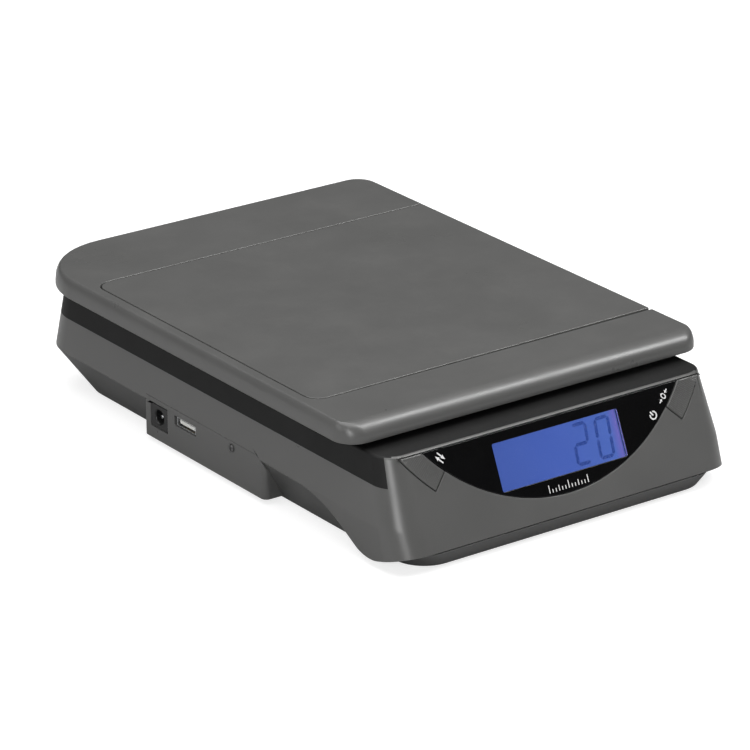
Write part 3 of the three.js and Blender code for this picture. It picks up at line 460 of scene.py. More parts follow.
def add_piece(name, bm, body, slot, *materials, stands_for=(), edge=0.0, steps=2):
    """Makes the mesh an object that rides on a body and takes the finishes it is given; the slot is
    not used.
    """
    mesh = bpy.data.meshes.new(name)
    bm.to_mesh(mesh)
    bm.free()
    mesh.shade_smooth()
    for material in materials:
        mesh.materials.append(material)
    piece = bpy.data.objects.new(name, mesh)
    bpy.context.scene.collection.objects.link(piece)
    if edge:
        rounding = piece.modifiers.new("Rounded edges", "BEVEL")
        rounding.width = edge
        rounding.segments = steps
        rounding.limit_method = "ANGLE"
        rounding.angle_limit = math.radians(35)
        rounding.use_clamp_overlap = False
    flats = piece.modifiers.new("Even flats", "WEIGHTED_NORMAL")
    flats.keep_sharp = True
    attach(piece, body)
    if stands_for:
        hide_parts(*stands_for)
    return piece


def sharpen(bm, degrees=40):
    """Marks the edges that turn by more than an angle as sharp."""
    for edge in bm.edges:
        edge.smooth = edge.calc_face_angle(0.0) < math.radians(degrees)
    return bm


# --------------------------------------------------------------- effects, as groups

def group_tree(name, inputs, outputs):
    """A new shader node group with its sockets and its two end nodes."""
    tree = bpy.data.node_groups.new(name, "ShaderNodeTree")
    for label, kind, value in inputs:
        socket = tree.interface.new_socket(name=label, in_out="INPUT", socket_type=kind)
        socket.default_value = value
    for label, kind in outputs:
        tree.interface.new_socket(name=label, in_out="OUTPUT", socket_type=kind)
    return tree, tree.nodes.new("NodeGroupInput"), tree.nodes.new("NodeGroupOutput")


def add_node(tree, kind, links=None, values=None, **settings):
    """A node with its settings, plain values and incoming links."""
    node = tree.nodes.new(kind)
    for key, value in settings.items():
        setattr(node, key, value)
    for socket, value in (values or {}).items():
        node.inputs[socket].default_value = value
    for socket, source in (links or {}).items():
        tree.links.new(source, node.inputs[socket])
    return node


def build_grain():
    """Fine moulded grain and slow cloudy variation, on object coordinates."""
    inputs = [("Grain Scale", "NodeSocketFloat", 2600.0), ("Cloud Scale", "NodeSocketFloat", 26.0)]
    outputs = [("Grain", "NodeSocketFloat"), ("Cloud", "NodeSocketFloat")]
    tree, start, end = group_tree("Moulded Grain", inputs, outputs)
    place = add_node(tree, "ShaderNodeTexCoord").outputs["Object"]
    fine = add_node(tree, "ShaderNodeTexNoise",
                    links={"Vector": place, "Scale": start.outputs["Grain Scale"]},
                    values={"Detail": 3.0, "Roughness": 0.6})
    slow = add_node(tree, "ShaderNodeTexNoise",
                    links={"Vector": place, "Scale": start.outputs["Cloud Scale"]},
                    values={"Detail": 4.0, "Roughness": 0.55})
    cloud = add_node(tree, "ShaderNodeMapRange", links={"Value": slow.outputs["Fac"]},
                     values={"From Min": 0.3, "From Max": 0.7})
    tree.links.new(fine.outputs["Fac"], end.inputs["Grain"])
    tree.links.new(cloud.outputs["Result"], end.inputs["Cloud"])
    return tree


def build_wear_and_highlight():
    """A mask that is bright on outer edges and broken up by noise, for edge wear and a painted
    highlight along the edges.
    """
    inputs = [("Width", "NodeSocketFloat", 0.0006), ("Break Up", "NodeSocketFloat", 300.0)]
    tree, start, end = group_tree("Edge Wear And Highlight", inputs, [("Mask", "NodeSocketFloat")])
    rounded = add_node(tree, "ShaderNodeBevel", links={"Radius": start.outputs["Width"]}, samples=4)
    surface = add_node(tree, "ShaderNodeNewGeometry")
    likeness = add_node(tree, "ShaderNodeVectorMath", operation="DOT_PRODUCT")
    tree.links.new(rounded.outputs["Normal"], likeness.inputs[0])
    tree.links.new(surface.outputs["Normal"], likeness.inputs[1])
    edge = add_node(tree, "ShaderNodeMapRange", links={"Value": likeness.outputs["Value"]},
                    values={"From Min": 0.995, "From Max": 0.90})
    place = add_node(tree, "ShaderNodeTexCoord").outputs["Object"]
    noise = add_node(tree, "ShaderNodeTexNoise",
                     links={"Vector": place, "Scale": start.outputs["Break Up"]},
                     values={"Detail": 3.0})
    broken = add_node(tree, "ShaderNodeMapRange", links={"Value": noise.outputs["Fac"]},
                      values={"From Min": 0.35, "From Max": 0.65, "To Min": 0.25})
    mask = add_node(tree, "ShaderNodeMath", operation="MULTIPLY")
    tree.links.new(edge.outputs["Result"], mask.inputs[0])
    tree.links.new(broken.outputs["Result"], mask.inputs[1])
    tree.links.new(mask.outputs["Value"], end.inputs["Mask"])
    return tree


def build_brushing():
    """Long fine scratches along one axis, for machined and plated metal."""
    inputs = [("Fineness", "NodeSocketFloat", 900.0),
              ("Stretch", "NodeSocketVector", (1.0, 0.03, 1.0))]
    tree, start, end = group_tree("Brushed Lines", inputs, [("Lines", "NodeSocketFloat")])
    place = add_node(tree, "ShaderNodeTexCoord").outputs["Object"]
    drawn = add_node(tree, "ShaderNodeVectorMath", operation="MULTIPLY")
    tree.links.new(place, drawn.inputs[0])
    tree.links.new(start.outputs["Stretch"], drawn.inputs[1])
    lines = add_node(tree, "ShaderNodeTexNoise",
                     links={"Vector": drawn.outputs["Vector"], "Scale": start.outputs["Fineness"]},
                     values={"Detail": 2.0})
    tree.links.new(lines.outputs["Fac"], end.inputs["Lines"])
    return tree


def build_dust():
    """A mask of faint dust on faces that look up."""
    inputs = [("Amount", "NodeSocketFloat", 0.1), ("Patch Scale", "NodeSocketFloat", 60.0)]
    tree, start, end = group_tree("Settled Dust", inputs, [("Mask", "NodeSocketFloat")])
    surface = add_node(tree, "ShaderNodeNewGeometry")
    split = add_node(tree, "ShaderNodeSeparateXYZ", links={"Vector": surface.outputs["Normal"]})
    upward = add_node(tree, "ShaderNodeMapRange", links={"Value": split.outputs["Z"]},
                      values={"From Min": 0.6, "From Max": 1.0})
    place = add_node(tree, "ShaderNodeTexCoord").outputs["Object"]
    patches = add_node(tree, "ShaderNodeTexNoise",
                       links={"Vector": place, "Scale": start.outputs["Patch Scale"]},
                       values={"Detail": 6.0, "Roughness": 0.7})
    lifted = add_node(tree, "ShaderNodeMapRange", links={"Value": patches.outputs["Fac"]},
                      values={"From Min": 0.45, "From Max": 0.75})
    both = add_node(tree, "ShaderNodeMath", operation="MULTIPLY")
    tree.links.new(upward.outputs["Result"], both.inputs[0])
    tree.links.new(lifted.outputs["Result"], both.inputs[1])
    amount = add_node(tree, "ShaderNodeMath", operation="MULTIPLY")
    tree.links.new(both.outputs["Value"], amount.inputs[0])
    tree.links.new(start.outputs["Amount"], amount.inputs[1])
    tree.links.new(amount.outputs["Value"], end.inputs["Mask"])
    return tree


def effect(tree, name, **values):
    """Places a shared effect in a material with its own values."""
    builders = {"Moulded Grain": build_grain, "Edge Wear And Highlight": build_wear_and_highlight,
                "Brushed Lines": build_brushing, "Settled Dust": build_dust}
    group = bpy.data.node_groups.get(name) or builders[name]()
    node = add_node(tree, "ShaderNodeGroup", node_tree=group)
    for socket, value in values.items():
        node.inputs[socket.replace("_", " ").title()].default_value = value
    return node


# ----------------------------------------------------------------------- finishes

def blank_material(name):
    """A new material with its tree and its shader."""
    material = bpy.data.materials.new(name)
    material.use_nodes = True
    return material, material.node_tree, material.node_tree.nodes["Principled BSDF"]


def shade(colour, factor):
    """A colour made lighter or darker, with full alpha."""
    return tuple(min(1.0, channel * factor) for channel in colour) + (1.0,)


def mix_colour(tree, factor, first, second):
    """A colour between two, each a plain colour or a socket."""
    mix = tree.nodes.new("ShaderNodeMix")
    mix.data_type = "RGBA"
    tree.links.new(factor, mix.inputs["Factor"])
    for socket, colour in ((mix.inputs[6], first), (mix.inputs[7], second)):
        if isinstance(colour, bpy.types.NodeSocket):
            tree.links.new(colour, socket)
        else:
            socket.default_value = colour
    return mix.outputs[2]


def spread(tree, factor, low, high):
    """A mask stretched to run from low to high."""
    node = add_node(tree, "ShaderNodeMapRange", links={"Value": factor},
                    values={"To Min": low, "To Max": high})
    return node.outputs["Result"]


def add_bump(tree, shader, height, strength, distance):
    """Raises the surface by a height mask."""
    bump = add_node(tree, "ShaderNodeBump", links={"Height": height},
                    values={"Strength": strength, "Distance": distance})
    tree.links.new(bump.outputs["Normal"], shader.inputs["Normal"])


def moulded(name, colour, roughness, grain_scale=2600.0, grain=0.30, cloud=0.03, wear=0.5,
            dust=0.04, shine=0.5):
    """Moulded plastic: fine grain, slow colour drift, lighter edges that are part wear and part
    painted highlight, and a little dust.
    """
    material, tree, shader = blank_material(name)
    surface = effect(tree, "Moulded Grain", grain_scale=grain_scale)
    worn_and_lit = effect(tree, "Edge Wear And Highlight", width=0.0007)
    settled = effect(tree, "Settled Dust", amount=dust)
    base = mix_colour(tree, surface.outputs["Cloud"], shade(colour, 1 - cloud),
                      shade(colour, 1 + cloud))
    # Outer edges lightened: part edge wear, part painted highlight.
    rubbed_and_lit = mix_colour(tree, spread(tree, worn_and_lit.outputs["Mask"], 0.0, wear), base,
                        shade(colour, 1.8))
    dusted = mix_colour(tree, settled.outputs["Mask"], rubbed_and_lit, (0.30, 0.29, 0.27, 1.0))
    tree.links.new(dusted, shader.inputs["Base Color"])
    rough = spread(tree, surface.outputs["Cloud"], roughness - 0.04, roughness + 0.05)
    smoother = add_node(tree, "ShaderNodeMath", operation="MULTIPLY_ADD")
    tree.links.new(worn_and_lit.outputs["Mask"], smoother.inputs[0])
    smoother.inputs[1].default_value = -0.10
    tree.links.new(rough, smoother.inputs[2])
    tree.links.new(smoother.outputs["Value"], shader.inputs["Roughness"])
    shader.inputs["Specular IOR Level"].default_value = shine
    add_bump(tree, shader, surface.outputs["Grain"], grain, 0.00004)
    return material


def glossy_lens(name, colour):
    """Black printed acrylic with faint smears."""
    material, tree, shader = blank_material(name)
    surface = effect(tree, "Moulded Grain", grain_scale=60.0, cloud_scale=45.0)
    base = mix_colour(tree, surface.outputs["Cloud"], shade(colour, 0.8), shade(colour, 1.3))
    tree.links.new(base, shader.inputs["Base Color"])
    smears = spread(tree, surface.outputs["Grain"], 0.03, 0.11)
    tree.links.new(smears, shader.inputs["Roughness"])
    shader.inputs["IOR"].default_value = 1.49
    add_bump(tree, shader, surface.outputs["Cloud"], 0.02, 0.0002)
    return material


def clear_window(name):
    """Clear acrylic over the display."""
    material, tree, shader = blank_material(name)
    surface = effect(tree, "Moulded Grain", grain_scale=80.0, cloud_scale=40.0)
    base = mix_colour(tree, surface.outputs["Cloud"], (0.96, 0.97, 1.0, 1.0),
                      (1.0, 1.0, 1.0, 1.0))
    tree.links.new(base, shader.inputs["Base Color"])
    smears = spread(tree, surface.outputs["Grain"], 0.02, 0.06)
    tree.links.new(smears, shader.inputs["Roughness"])
    shader.inputs["IOR"].default_value = 1.49
    shader.inputs["Transmission Weight"].default_value = 1.0
    return material


def lit_display(name, colours):
    """The lit display: blue, a little lighter to the right, with faint cloudy dimming."""
    material, tree, shader = blank_material(name)
    place = add_node(tree, "ShaderNodeTexCoord").outputs["Object"]
    across = add_node(tree, "ShaderNodeSeparateXYZ", links={"Vector": place})
    run = add_node(tree, "ShaderNodeMapRange", links={"Value": across.outputs["X"]},
                   values={"From Min": lcd_low.x, "From Max": lcd_high.x})
    ramp = add_node(tree, "ShaderNodeValToRGB", links={"Fac": run.outputs["Result"]})
    stops = ((0.0, colours.glow, 0.92), (0.55, colours.glow, 1.08), (0.93, colours.glow_right, 1.0),
             (0.985, (0.16, 0.14, 0.50), 1.0), (1.0, colours.glow, 0.7))
    ramp.color_ramp.elements[0].position = 0.0
    ramp.color_ramp.elements[-1].position = 1.0
    for position, _, _ in stops[1:-1]:
        ramp.color_ramp.elements.new(position)
    for element, (_, colour, factor) in zip(ramp.color_ramp.elements, stops):
        element.color = shade(colour, factor)
    surface = effect(tree, "Moulded Grain", grain_scale=1500.0, cloud_scale=30.0)
    dim = mix_colour(tree, spread(tree, surface.outputs["Cloud"], 0.0, 0.25),
                     ramp.outputs["Color"], shade(colours.glow, 0.85))
    tree.links.new(dim, shader.inputs["Emission Color"])
    shader.inputs["Emission Strength"].default_value = 1.0
    tree.links.new(mix_colour(tree, surface.outputs["Grain"], (0.01, 0.015, 0.05, 1.0),
                              (0.02, 0.025, 0.07, 1.0)), shader.inputs["Base Color"])
    tree.links.new(spread(tree, surface.outputs["Grain"], 0.15, 0.30), shader.inputs["Roughness"])
    shader.inputs["Specular IOR Level"].default_value = 0.1
    return material


def display_digit(name, colour):
    """The darker bars of the digits, lit from behind."""
    material, tree, shader = blank_material(name)
    surface = effect(tree, "Moulded Grain", grain_scale=1500.0, cloud_scale=300.0)
    glow = mix_colour(tree, surface.outputs["Cloud"], shade(colour, 0.85), shade(colour, 1.15))
    tree.links.new(glow, shader.inputs["Emission Color"])
    shader.inputs["Emission Strength"].default_value = 1.0
    tree.links.new(mix_colour(tree, surface.outputs["Grain"], (0.004, 0.006, 0.02, 1.0),
                              (0.008, 0.01, 0.03, 1.0)), shader.inputs["Base Color"])
    tree.links.new(spread(tree, surface.outputs["Grain"], 0.2, 0.35), shader.inputs["Roughness"])
    return material


def printed_ink(name, colour):
    """White screen-printed ink."""
    material, tree, shader = blank_material(name)
    surface = effect(tree, "Moulded Grain", grain_scale=6000.0, cloud_scale=900.0)
    base = mix_colour(tree, surface.outputs["Grain"], shade(colour, 0.85), shade(colour, 1.1))
    tree.links.new(base, shader.inputs["Base Color"])
    tree.links.new(spread(tree, surface.outputs["Cloud"], 0.45, 0.65), shader.inputs["Roughness"])
    return material


def metal(name, colour, roughness, fineness=900.0, stretch=(1.0, 0.03, 1.0), spots=0.12):
    """Machined or plated metal with fine lines and brighter edges."""
    material, tree, shader = blank_material(name)
    lines = effect(tree, "Brushed Lines", fineness=fineness, stretch=stretch)
    surface = effect(tree, "Moulded Grain", grain_scale=700.0, cloud_scale=140.0)
    worn_and_lit = effect(tree, "Edge Wear And Highlight", width=0.0004, break_up=900.0)
    base = mix_colour(tree, surface.outputs["Cloud"], shade(colour, 1 - spots), shade(colour, 1.0))
    bright = mix_colour(tree, spread(tree, worn_and_lit.outputs["Mask"], 0.0, 0.6), base,
                        shade(colour, 1.35))
    tree.links.new(bright, shader.inputs["Base Color"])
    shader.inputs["Metallic"].default_value = 1.0
    tree.links.new(spread(tree, lines.outputs["Lines"], roughness - 0.08, roughness + 0.12),
                   shader.inputs["Roughness"])
    add_bump(tree, shader, lines.outputs["Lines"], 0.12, 0.00003)
    return material


def rubbery(name, colour):
    """Soft black rubber: matt, pitted and lightly dusty."""
    material, tree, shader = blank_material(name)
    surface = effect(tree, "Moulded Grain", grain_scale=3500.0, cloud_scale=220.0)
    settled = effect(tree, "Settled Dust", amount=0.3, patch_scale=300.0)
    base = mix_colour(tree, surface.outputs["Cloud"], shade(colour, 0.7), shade(colour, 1.6))
    dusted = mix_colour(tree, settled.outputs["Mask"], base, (0.12, 0.115, 0.11, 1.0))
    tree.links.new(dusted, shader.inputs["Base Color"])
    tree.links.new(spread(tree, surface.outputs["Cloud"], 0.75, 0.92), shader.inputs["Roughness"])
    add_bump(tree, shader, surface.outputs["Grain"], 0.5, 0.00005)
    return material


def solder_mask(name, colour):
    """Green circuit board: copper tracks under a glossy mask."""
    material, tree, shader = blank_material(name)
    place = add_node(tree, "ShaderNodeTexCoord").outputs["Object"]
    tracks = add_node(tree, "ShaderNodeTexBrick", links={"Vector": place},
                      values={"Scale": 260.0, "Mortar Size": 0.05, "Bias": 0.2})
    tracks.inputs["Color1"].default_value = shade(colour, 1.0)
    tracks.inputs["Color2"].default_value = shade(colour, 1.25)
    tracks.inputs["Mortar"].default_value = shade(colour, 1.9)
    surface = effect(tree, "Moulded Grain", grain_scale=1800.0, cloud_scale=90.0)
    base = mix_colour(tree, spread(tree, surface.outputs["Cloud"], 0.0, 0.35),
                      tracks.outputs["Color"], shade(colour, 0.7))
    tree.links.new(base, shader.inputs["Base Color"])
    tree.links.new(spread(tree, surface.outputs["Grain"], 0.28, 0.42), shader.inputs["Roughness"])
    add_bump(tree, shader, tracks.outputs["Fac"], 0.2, 0.00005)
    return material


def all_finishes(colours):
    """Every finish by the name of the record slot that it serves."""
    return {
        "casing_grey": moulded("Moulded Grey", colours.grey, 0.31),
        "casing_dark": moulded("Moulded Dark Grey", colours.dark_grey, 0.42),
        "black_gloss": glossy_lens("Printed Lens", colours.lens),
        "black_plastic": moulded("Black Plastic", colours.black, 0.38, wear=0.2, dust=0.03),
        "white_plastic": moulded("White Plastic", colours.white, 0.40, wear=0.1, dust=0.05),
        "lcd_blue": lit_display("Lit Display", colours),
        "circuit_board": solder_mask("Solder Mask", colours.board),
        "aluminium": metal("Machined Aluminium", colours.aluminium, 0.36),
        "steel": metal("Plated Steel", colours.steel, 0.26, fineness=1600.0,
                       stretch=(1.0, 1.0, 0.2)),
        "rubber": rubbery("Black Rubber", colours.rubber),
        "battery_can": moulded("Battery Sleeve", colours.battery, 0.30, cloud=0.15, wear=0.7),
        "gold": metal("Gold Plating", colours.gold, 0.22, fineness=2500.0),
        # Near-black painted shade for the deck and the upper band of the walls under the platform.
        "deck": moulded("Painted Shade Band", colours.deck, 0.60, wear=0.2, dust=0.01, shine=0.3),
        "dark_steel": metal("Blackened Steel", colours.dark_steel, 0.30, fineness=1600.0),
        "window": clear_window("Clear Window"),
        "digit": display_digit("Display Digit", colours.digit),
        "ink": printed_ink("White Ink", colours.ink),
    }


FINISHES = {}


# ------------------------------------------------------------------ platform shapes

def platform_level(s, wall, share, z):
    """The corners of the platform's outline where its edge has rounded in by a share."""
    ahead = (platform_high.z - platform_low.z - s.rim) * share + wall
    aside = s.side_rounding * share + wall
    return rectangle(platform_low.x + aside, platform_high.x - aside, platform_low.y + ahead,
                     platform_high.y - aside, z, s.front_radius - ahead,
                     s.rear_radius - aside, s.rear_left_radius - aside)


def platform_solid(s, wall, low, high, steps=12):
    """A rounded block like the platform's outside, or its inside when wall is set."""
    rise = platform_high.z - platform_low.z - s.rim
    levels = [platform_level(s, wall, 0.0, low)]
    for step in range(steps + 1):
        angle = math.pi / 2 * step / steps
        levels.append(platform_level(s, wall, 1 - math.cos(angle),
                                     high - rise * (1 - math.sin(angle))))
    return lofted(levels, segments=12)


def recess_box(s):
    """The recess for the leaf: left, front, rear and its floor's top and bottom."""
    floor_top = platform_high.z - s.leaf_thickness - s.leaf_play
    return (platform_low.x + s.left_strip, platform_low.y + s.front_strip,
            platform_high.y - s.rear_strip, floor_top, floor_top - s.recess_floor)


def leaf_outline(s, gap, gap_right, right, z):
    """The leaf's corners, or the recess's when both gaps are nothing."""
    left, front, rear, _, _ = recess_box(s)
    radius = s.leaf_corner - gap
    return [((left + gap, front + gap, z), radius), ((right, front + gap_right, z), 0.0),
            ((right, rear - gap, z), 0.0), ((left + gap, rear - gap, z), radius)]


def hook_rows(s):
    """The Y of the leaf's two snap hooks."""
    _, front, rear, _, _ = recess_box(s)
    return front + s.hook_inset, rear - s.hook_inset


def shape_platform(s, play):
    """The platform's moulded cover with the recess that the leaf slides in."""
    left, front, rear, floor_top, floor_bottom = recess_box(s)
    reach = 0.01
    floor_right = leaf_high.x - s.leaf_lip - play
    inner_top = platform_high.z - s.wall
    cavity = platform_solid(s, s.wall, platform_low.z - reach, inner_top)
    cavity = cut(cavity, block((left - s.wall, front - s.wall, floor_bottom),
                               (floor_right, rear + s.wall, inner_top + reach)))
    pegs = [rod((middle(name).x, middle(name).y, carrier_low.z - 2 * play),
                (middle(name).x, middle(name).y, floor_bottom + play), s.peg_radius)
            for name in numbered("platform_grommet", 4)]
    cavity = cut(cavity, gathered(*pegs))
    cover = platform_solid(s, 0.0, platform_low.z, platform_high.z)
    cover = cut(cover, cavity)
    recess = leaf_outline(s, 0.0, 0.0, platform_high.x + reach, floor_top)
    cover = cut(cover, swept(recess, (0, 0, reach)))
    open_end = block((floor_right, front, platform_low.z - reach),
                     (platform_high.x + reach, rear, platform_high.z + reach))
    slots = []
    for y in hook_rows(s):
        half = s.hook_neck / 2 + 2 * play
        low_x = left + s.hook_set - 2 * play
        high_x = left + s.hook_set + s.hook_length + s.leaf_travel + 2 * play
        slots.append(block((low_x, y - half, floor_bottom - reach / 10),
                           (high_x, y + half, floor_top + reach / 10)))
    return cut(cover, open_end, gathered(*slots))


def shape_leaf(s):
    """The pull-out leaf: a plate with an end lip and two snap hooks under it."""
    left, front, rear, _, floor_bottom = recess_box(s)
    plate_low = platform_high.z - s.leaf_thickness
    sink = 0.0005
    plate = swept(leaf_outline(s, s.leaf_gap, s.leaf_gap_right, leaf_high.x, plate_low),
                  (0, 0, s.leaf_thickness), segments=12)
    lip = block((leaf_high.x - s.leaf_lip, front + s.leaf_gap_right, platform_low.z),
                (leaf_high.x, rear - s.leaf_gap, plate_low + sink))
    leaf = joined(plate, lip)
    for y in hook_rows(s):
        low_x = left + s.hook_set
        high_x = low_x + s.hook_length
        head_top = floor_bottom - s.leaf_play
        neck = block((low_x, y - s.hook_neck / 2, head_top - sink),
                     (high_x, y + s.hook_neck / 2, plate_low + sink))
        head = block((low_x, y - s.hook_head / 2, head_top - s.hook_thickness),
                     (high_x, y + s.hook_head / 2, head_top))
        leaf = joined(leaf, neck, head)
    return leaf


# -------------------------------------------------------------------- casing shapes

def nose_y(s, z):
    """The Y of the sloping front at a height."""
    return -platform_high.y + (z - s.nose_seam) * math.tan(s.nose_lean)


def casing_level(s, z, wall, front_wall):
    """The corners of the upper casing's outline at a height."""
    share = max(0.0, (z - casing_high.z + s.shoulder) / s.shoulder)
    half = casing_high.x - share * s.side_lean - wall
    rear = casing_high.y - share * s.rear_set - wall
    blend = z / casing_high.z
    radius = s.nose_floor_radius + (s.nose_top_radius - s.nose_floor_radius) * blend - wall
    front = nose_y(s, z) + front_wall / math.cos(s.nose_lean)
    return rectangle(-half, half, front, rear, z, radius, s.rear_radius - wall)


def casing_solid(s, wall, front_wall, low, high):
    """The casing's outer form, or its inside when the walls are set."""
    heights = (low, casing_high.z - s.shoulder, high)
    return lofted([casing_level(s, z, wall, front_wall) for z in heights], segments=14)


def under_parting(s, offset):
    """All that lies under the parting line between the two shells."""
    reach = 0.02
    nose = -platform_high.y
    far = nose - reach
    slope = (s.nose_dip - s.nose_seam) / s.bend_front
    x = platform_low.x - reach
    rear = nose + s.bend_rear
    front = nose + s.bend_front
    corners = [((x, platform_high.y + reach, -reach), 0.0),
               ((x, platform_high.y + reach, s.parting + offset), 0.0),
               ((x, rear - s.bend_rear_lead, s.parting + offset), s.bend_rear_radius),
               ((x, front, s.nose_dip + offset), s.bend_front_radius),
               ((x, far, s.nose_dip + offset + slope * (far - front)), 0.0),
               ((x, far, -reach), 0.0)]
    return swept(corners, (2 * (platform_high.x + reach), 0, 0), segments=10)


def connector_box(s, grow):
    """The outer form of the connector box, or a bigger one that clears it."""
    reach = 0.01
    low_z = s.box_bottom - grow
    top = s.parting + s.wall + grow
    front, rear = s.box_front - grow, s.box_rear + grow
    outer = casing_low.x - grow
    inner = casing_low.x + s.box_depth + grow
    side = swept([((outer, rear, low_z), 0.0), ((outer, rear, top), 0.0),
                  ((outer, front, top), s.box_bend + s.wall), ((outer, front, low_z), 0.0)],
                 (inner - outer, 0, 0))
    plan = swept([((outer, front, low_z - grow), s.box_corner),
                  ((inner + reach, front, low_z - grow), 0.0),
                  ((inner + reach, rear, low_z - grow), 0.0),
                  ((outer, rear, low_z - grow), s.box_corner)], (0, 0, top + 3 * grow + reach))
    return crossed(side, plan)


def housing_posts(low, high, radius):
    """Rods at the four housing screws."""
    return [rod((middle(name).x, middle(name).y, low), (middle(name).x, middle(name).y, high),
                radius) for name in numbered("housing_screw", 4)]


def face_frame(s):
    """Carries the sloping face's own right, up and outward axes into the row frame."""
    place = Matrix.Translation((0, nose_y(s, casing_high.z), casing_high.z))
    return place @ Matrix.Rotation(math.pi / 2 - s.nose_lean, 4, "X")


class LensArc:
    """The arc that the lens and both keys share, in the sloping face's frame."""

    def __init__(self, casing, display):
        rise = math.cos(casing.nose_lean)
        self.x = (lens_low.x + lens_high.x) / 2
        self.half_chord = (lens_high.x - lens_low.x) / 2
        self.top = (casing_high.z - lens_high.z) / rise
        back = display.lens_thickness * math.sin(casing.nose_lean)
        self.drop = (casing_high.z - lens_low.z - back) / rise
        height = self.drop - self.top
        self.radius = (self.half_chord ** 2 + height ** 2) / (2 * height)
        self.y = self.radius - self.drop

    def segment(self, grow, low, high):
        """The lens's form: a disc segment with a flat top edge."""
        bm = rod((self.x, self.y, low), (self.x, self.y, high), self.radius + grow, segments=240)
        top = -self.top + grow
        bmesh.ops.bisect_plane(bm, geom=bm.verts[:] + bm.edges[:] + bm.faces[:],
                               plane_co=(0, top, 0), plane_no=(0, 1, 0), clear_outer=True)
        rim = [edge for edge in bm.edges if edge.is_boundary]
        bmesh.ops.holes_fill(bm, edges=rim, sides=0)
        bmesh.ops.recalc_face_normals(bm, faces=bm.faces[:])
        return bm

    def crescent(self, side, inner, outer, end, top, low, high):
        """A key's form beside the lens; side is -1 on the left and 1 on the right."""
        early = 0.25
        start_angle = -early if side > 0 else math.pi + early
        end_angle = -end if side > 0 else math.pi + end
        bm = arc_band((self.x, self.y), inner, outer, start_angle, end_angle, low, high, 60)
        bmesh.ops.bisect_plane(bm, geom=bm.verts[:] + bm.edges[:] + bm.faces[:],
                               plane_co=(0, -top, 0), plane_no=(0, 1, 0), clear_outer=True)
        rim = [edge for edge in bm.edges if edge.is_boundary]
        bmesh.ops.holes_fill(bm, edges=rim, sides=0)
        bmesh.ops.recalc_face_normals(bm, faces=bm.faces[:])
        return bm


def face_openings(casing, display):
    """The seat for the lens, the display's window and the two key slots."""
    arc = LensArc(casing, display)
    above, behind = 0.004, 0.002
    deep = -casing.front_wall - behind
    seat = arc.segment(display.lens_gap, -display.lens_thickness - display.lens_gap, above)
    half_x = display.lcd_width / 2 + display.lens_gap
    half_y = display.lcd_height / 2 + display.lens_gap
    window = block((arc.x - half_x, -display.lcd_drop - half_y, deep),
                   (arc.x + half_x, -display.lcd_drop + half_y, -display.lens_thickness))
    openings = joined(seat, window)
    inner = arc.radius + display.lens_gap / 2
    outer = arc.radius + display.key_band + 2 * display.key_gap
    end = display.key_end + display.key_gap / arc.radius
    for side in (-1, 1):
        slot = arc.crescent(side, inner, outer, end, arc.top - display.lens_gap, deep, above)
        openings = joined(openings, slot)
    return moved(openings, face_frame(casing))


def socket_openings(s):
    """The holes in the connector box for the two sockets and the side screw."""
    before = 0.005
    out, deep = casing_low.x - before, casing_low.x + s.wall + PAST
    jack = block((out, jack_low.y - s.play, jack_low.z - s.play),
                 (deep, jack_high.y + s.play, jack_high.z + s.play))
    ends = (usb_low.y - s.data_margin, usb_high.y + s.data_margin)
    data = swept(upright(out, ends, (usb_low.z - s.play, usb_high.z + s.play), s.data_corner),
                 (deep - out, 0, 0), 4)
    screw = middle("side_screw")
    hole = rod((out, screw.y, screw.z), (deep, screw.y, screw.z), s.side_screw_bore)
    return gathered(jack, data, hole)


def shape_upper_casing(s, display):
    """The upper shell: sloping front, leaning sides, connector box, posts and openings."""
    outside = casing_solid(s, 0.0, 0.0, 0.0, casing_high.z)
    top = [edge for edge in outside.edges
           if all(vert.co.z > casing_high.z - 1e-6 for vert in edge.verts)]
    bmesh.ops.bevel(outside, geom=top, offset=s.top_edge, offset_type="OFFSET", segments=4,
                    profile=0.5, affect="EDGES", material=-1)
    shell = cut(outside, under_parting(s, s.seam_gap))
    below = 0.005
    inside = casing_solid(s, s.wall, s.front_wall, -below, casing_high.z - s.wall)
    shell = cut(shell, inside)
    cavity = block((casing_low.x + s.wall, s.box_front + s.wall, s.box_bottom + s.wall),
                   (casing_low.x + s.box_depth + s.wall, s.box_rear - s.wall,
                    s.parting + 2 * s.wall))
    shell = joined(shell, cut(connector_box(s, 0.0), cavity))
    boss_top = tray_low.z + s.boss_height + s.play
    shell = joined(shell, gathered(*housing_posts(boss_top, casing_high.z - PAST,
                                                  s.post_radius)))
    holes = housing_posts(boss_top - PAST, boss_top + s.post_bore_depth, s.post_bore)
    for name in numbered("overload_stop", 4):
        centre = middle(name)
        holes.append(rod((centre.x, centre.y, s.stop_foot),
                         (centre.x, centre.y, casing_high.z + PAST), s.stop_bore))
    column_low, column_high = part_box("platform_post")
    clear = Vector((s.column_gap, s.column_gap, PAST))
    holes.append(block(column_low - clear - Vector((0, 0, PAST)),
                       Vector((column_high.x, column_high.y, casing_high.z)) + clear))
    shell = cut(shell, gathered(*holes))
    # A split through all three openings, so that no face of the wall has a hole in it.
    through = side_screw_low.z + s.socket_split
    bmesh.ops.bisect_plane(shell, geom=shell.verts[:] + shell.edges[:] + shell.faces[:],
                           plane_co=(0, 0, through), plane_no=(0, 0, 1))
    shell = cut(shell, face_openings(s, display), socket_openings(s))
    return paint_shade_band(s, shell)


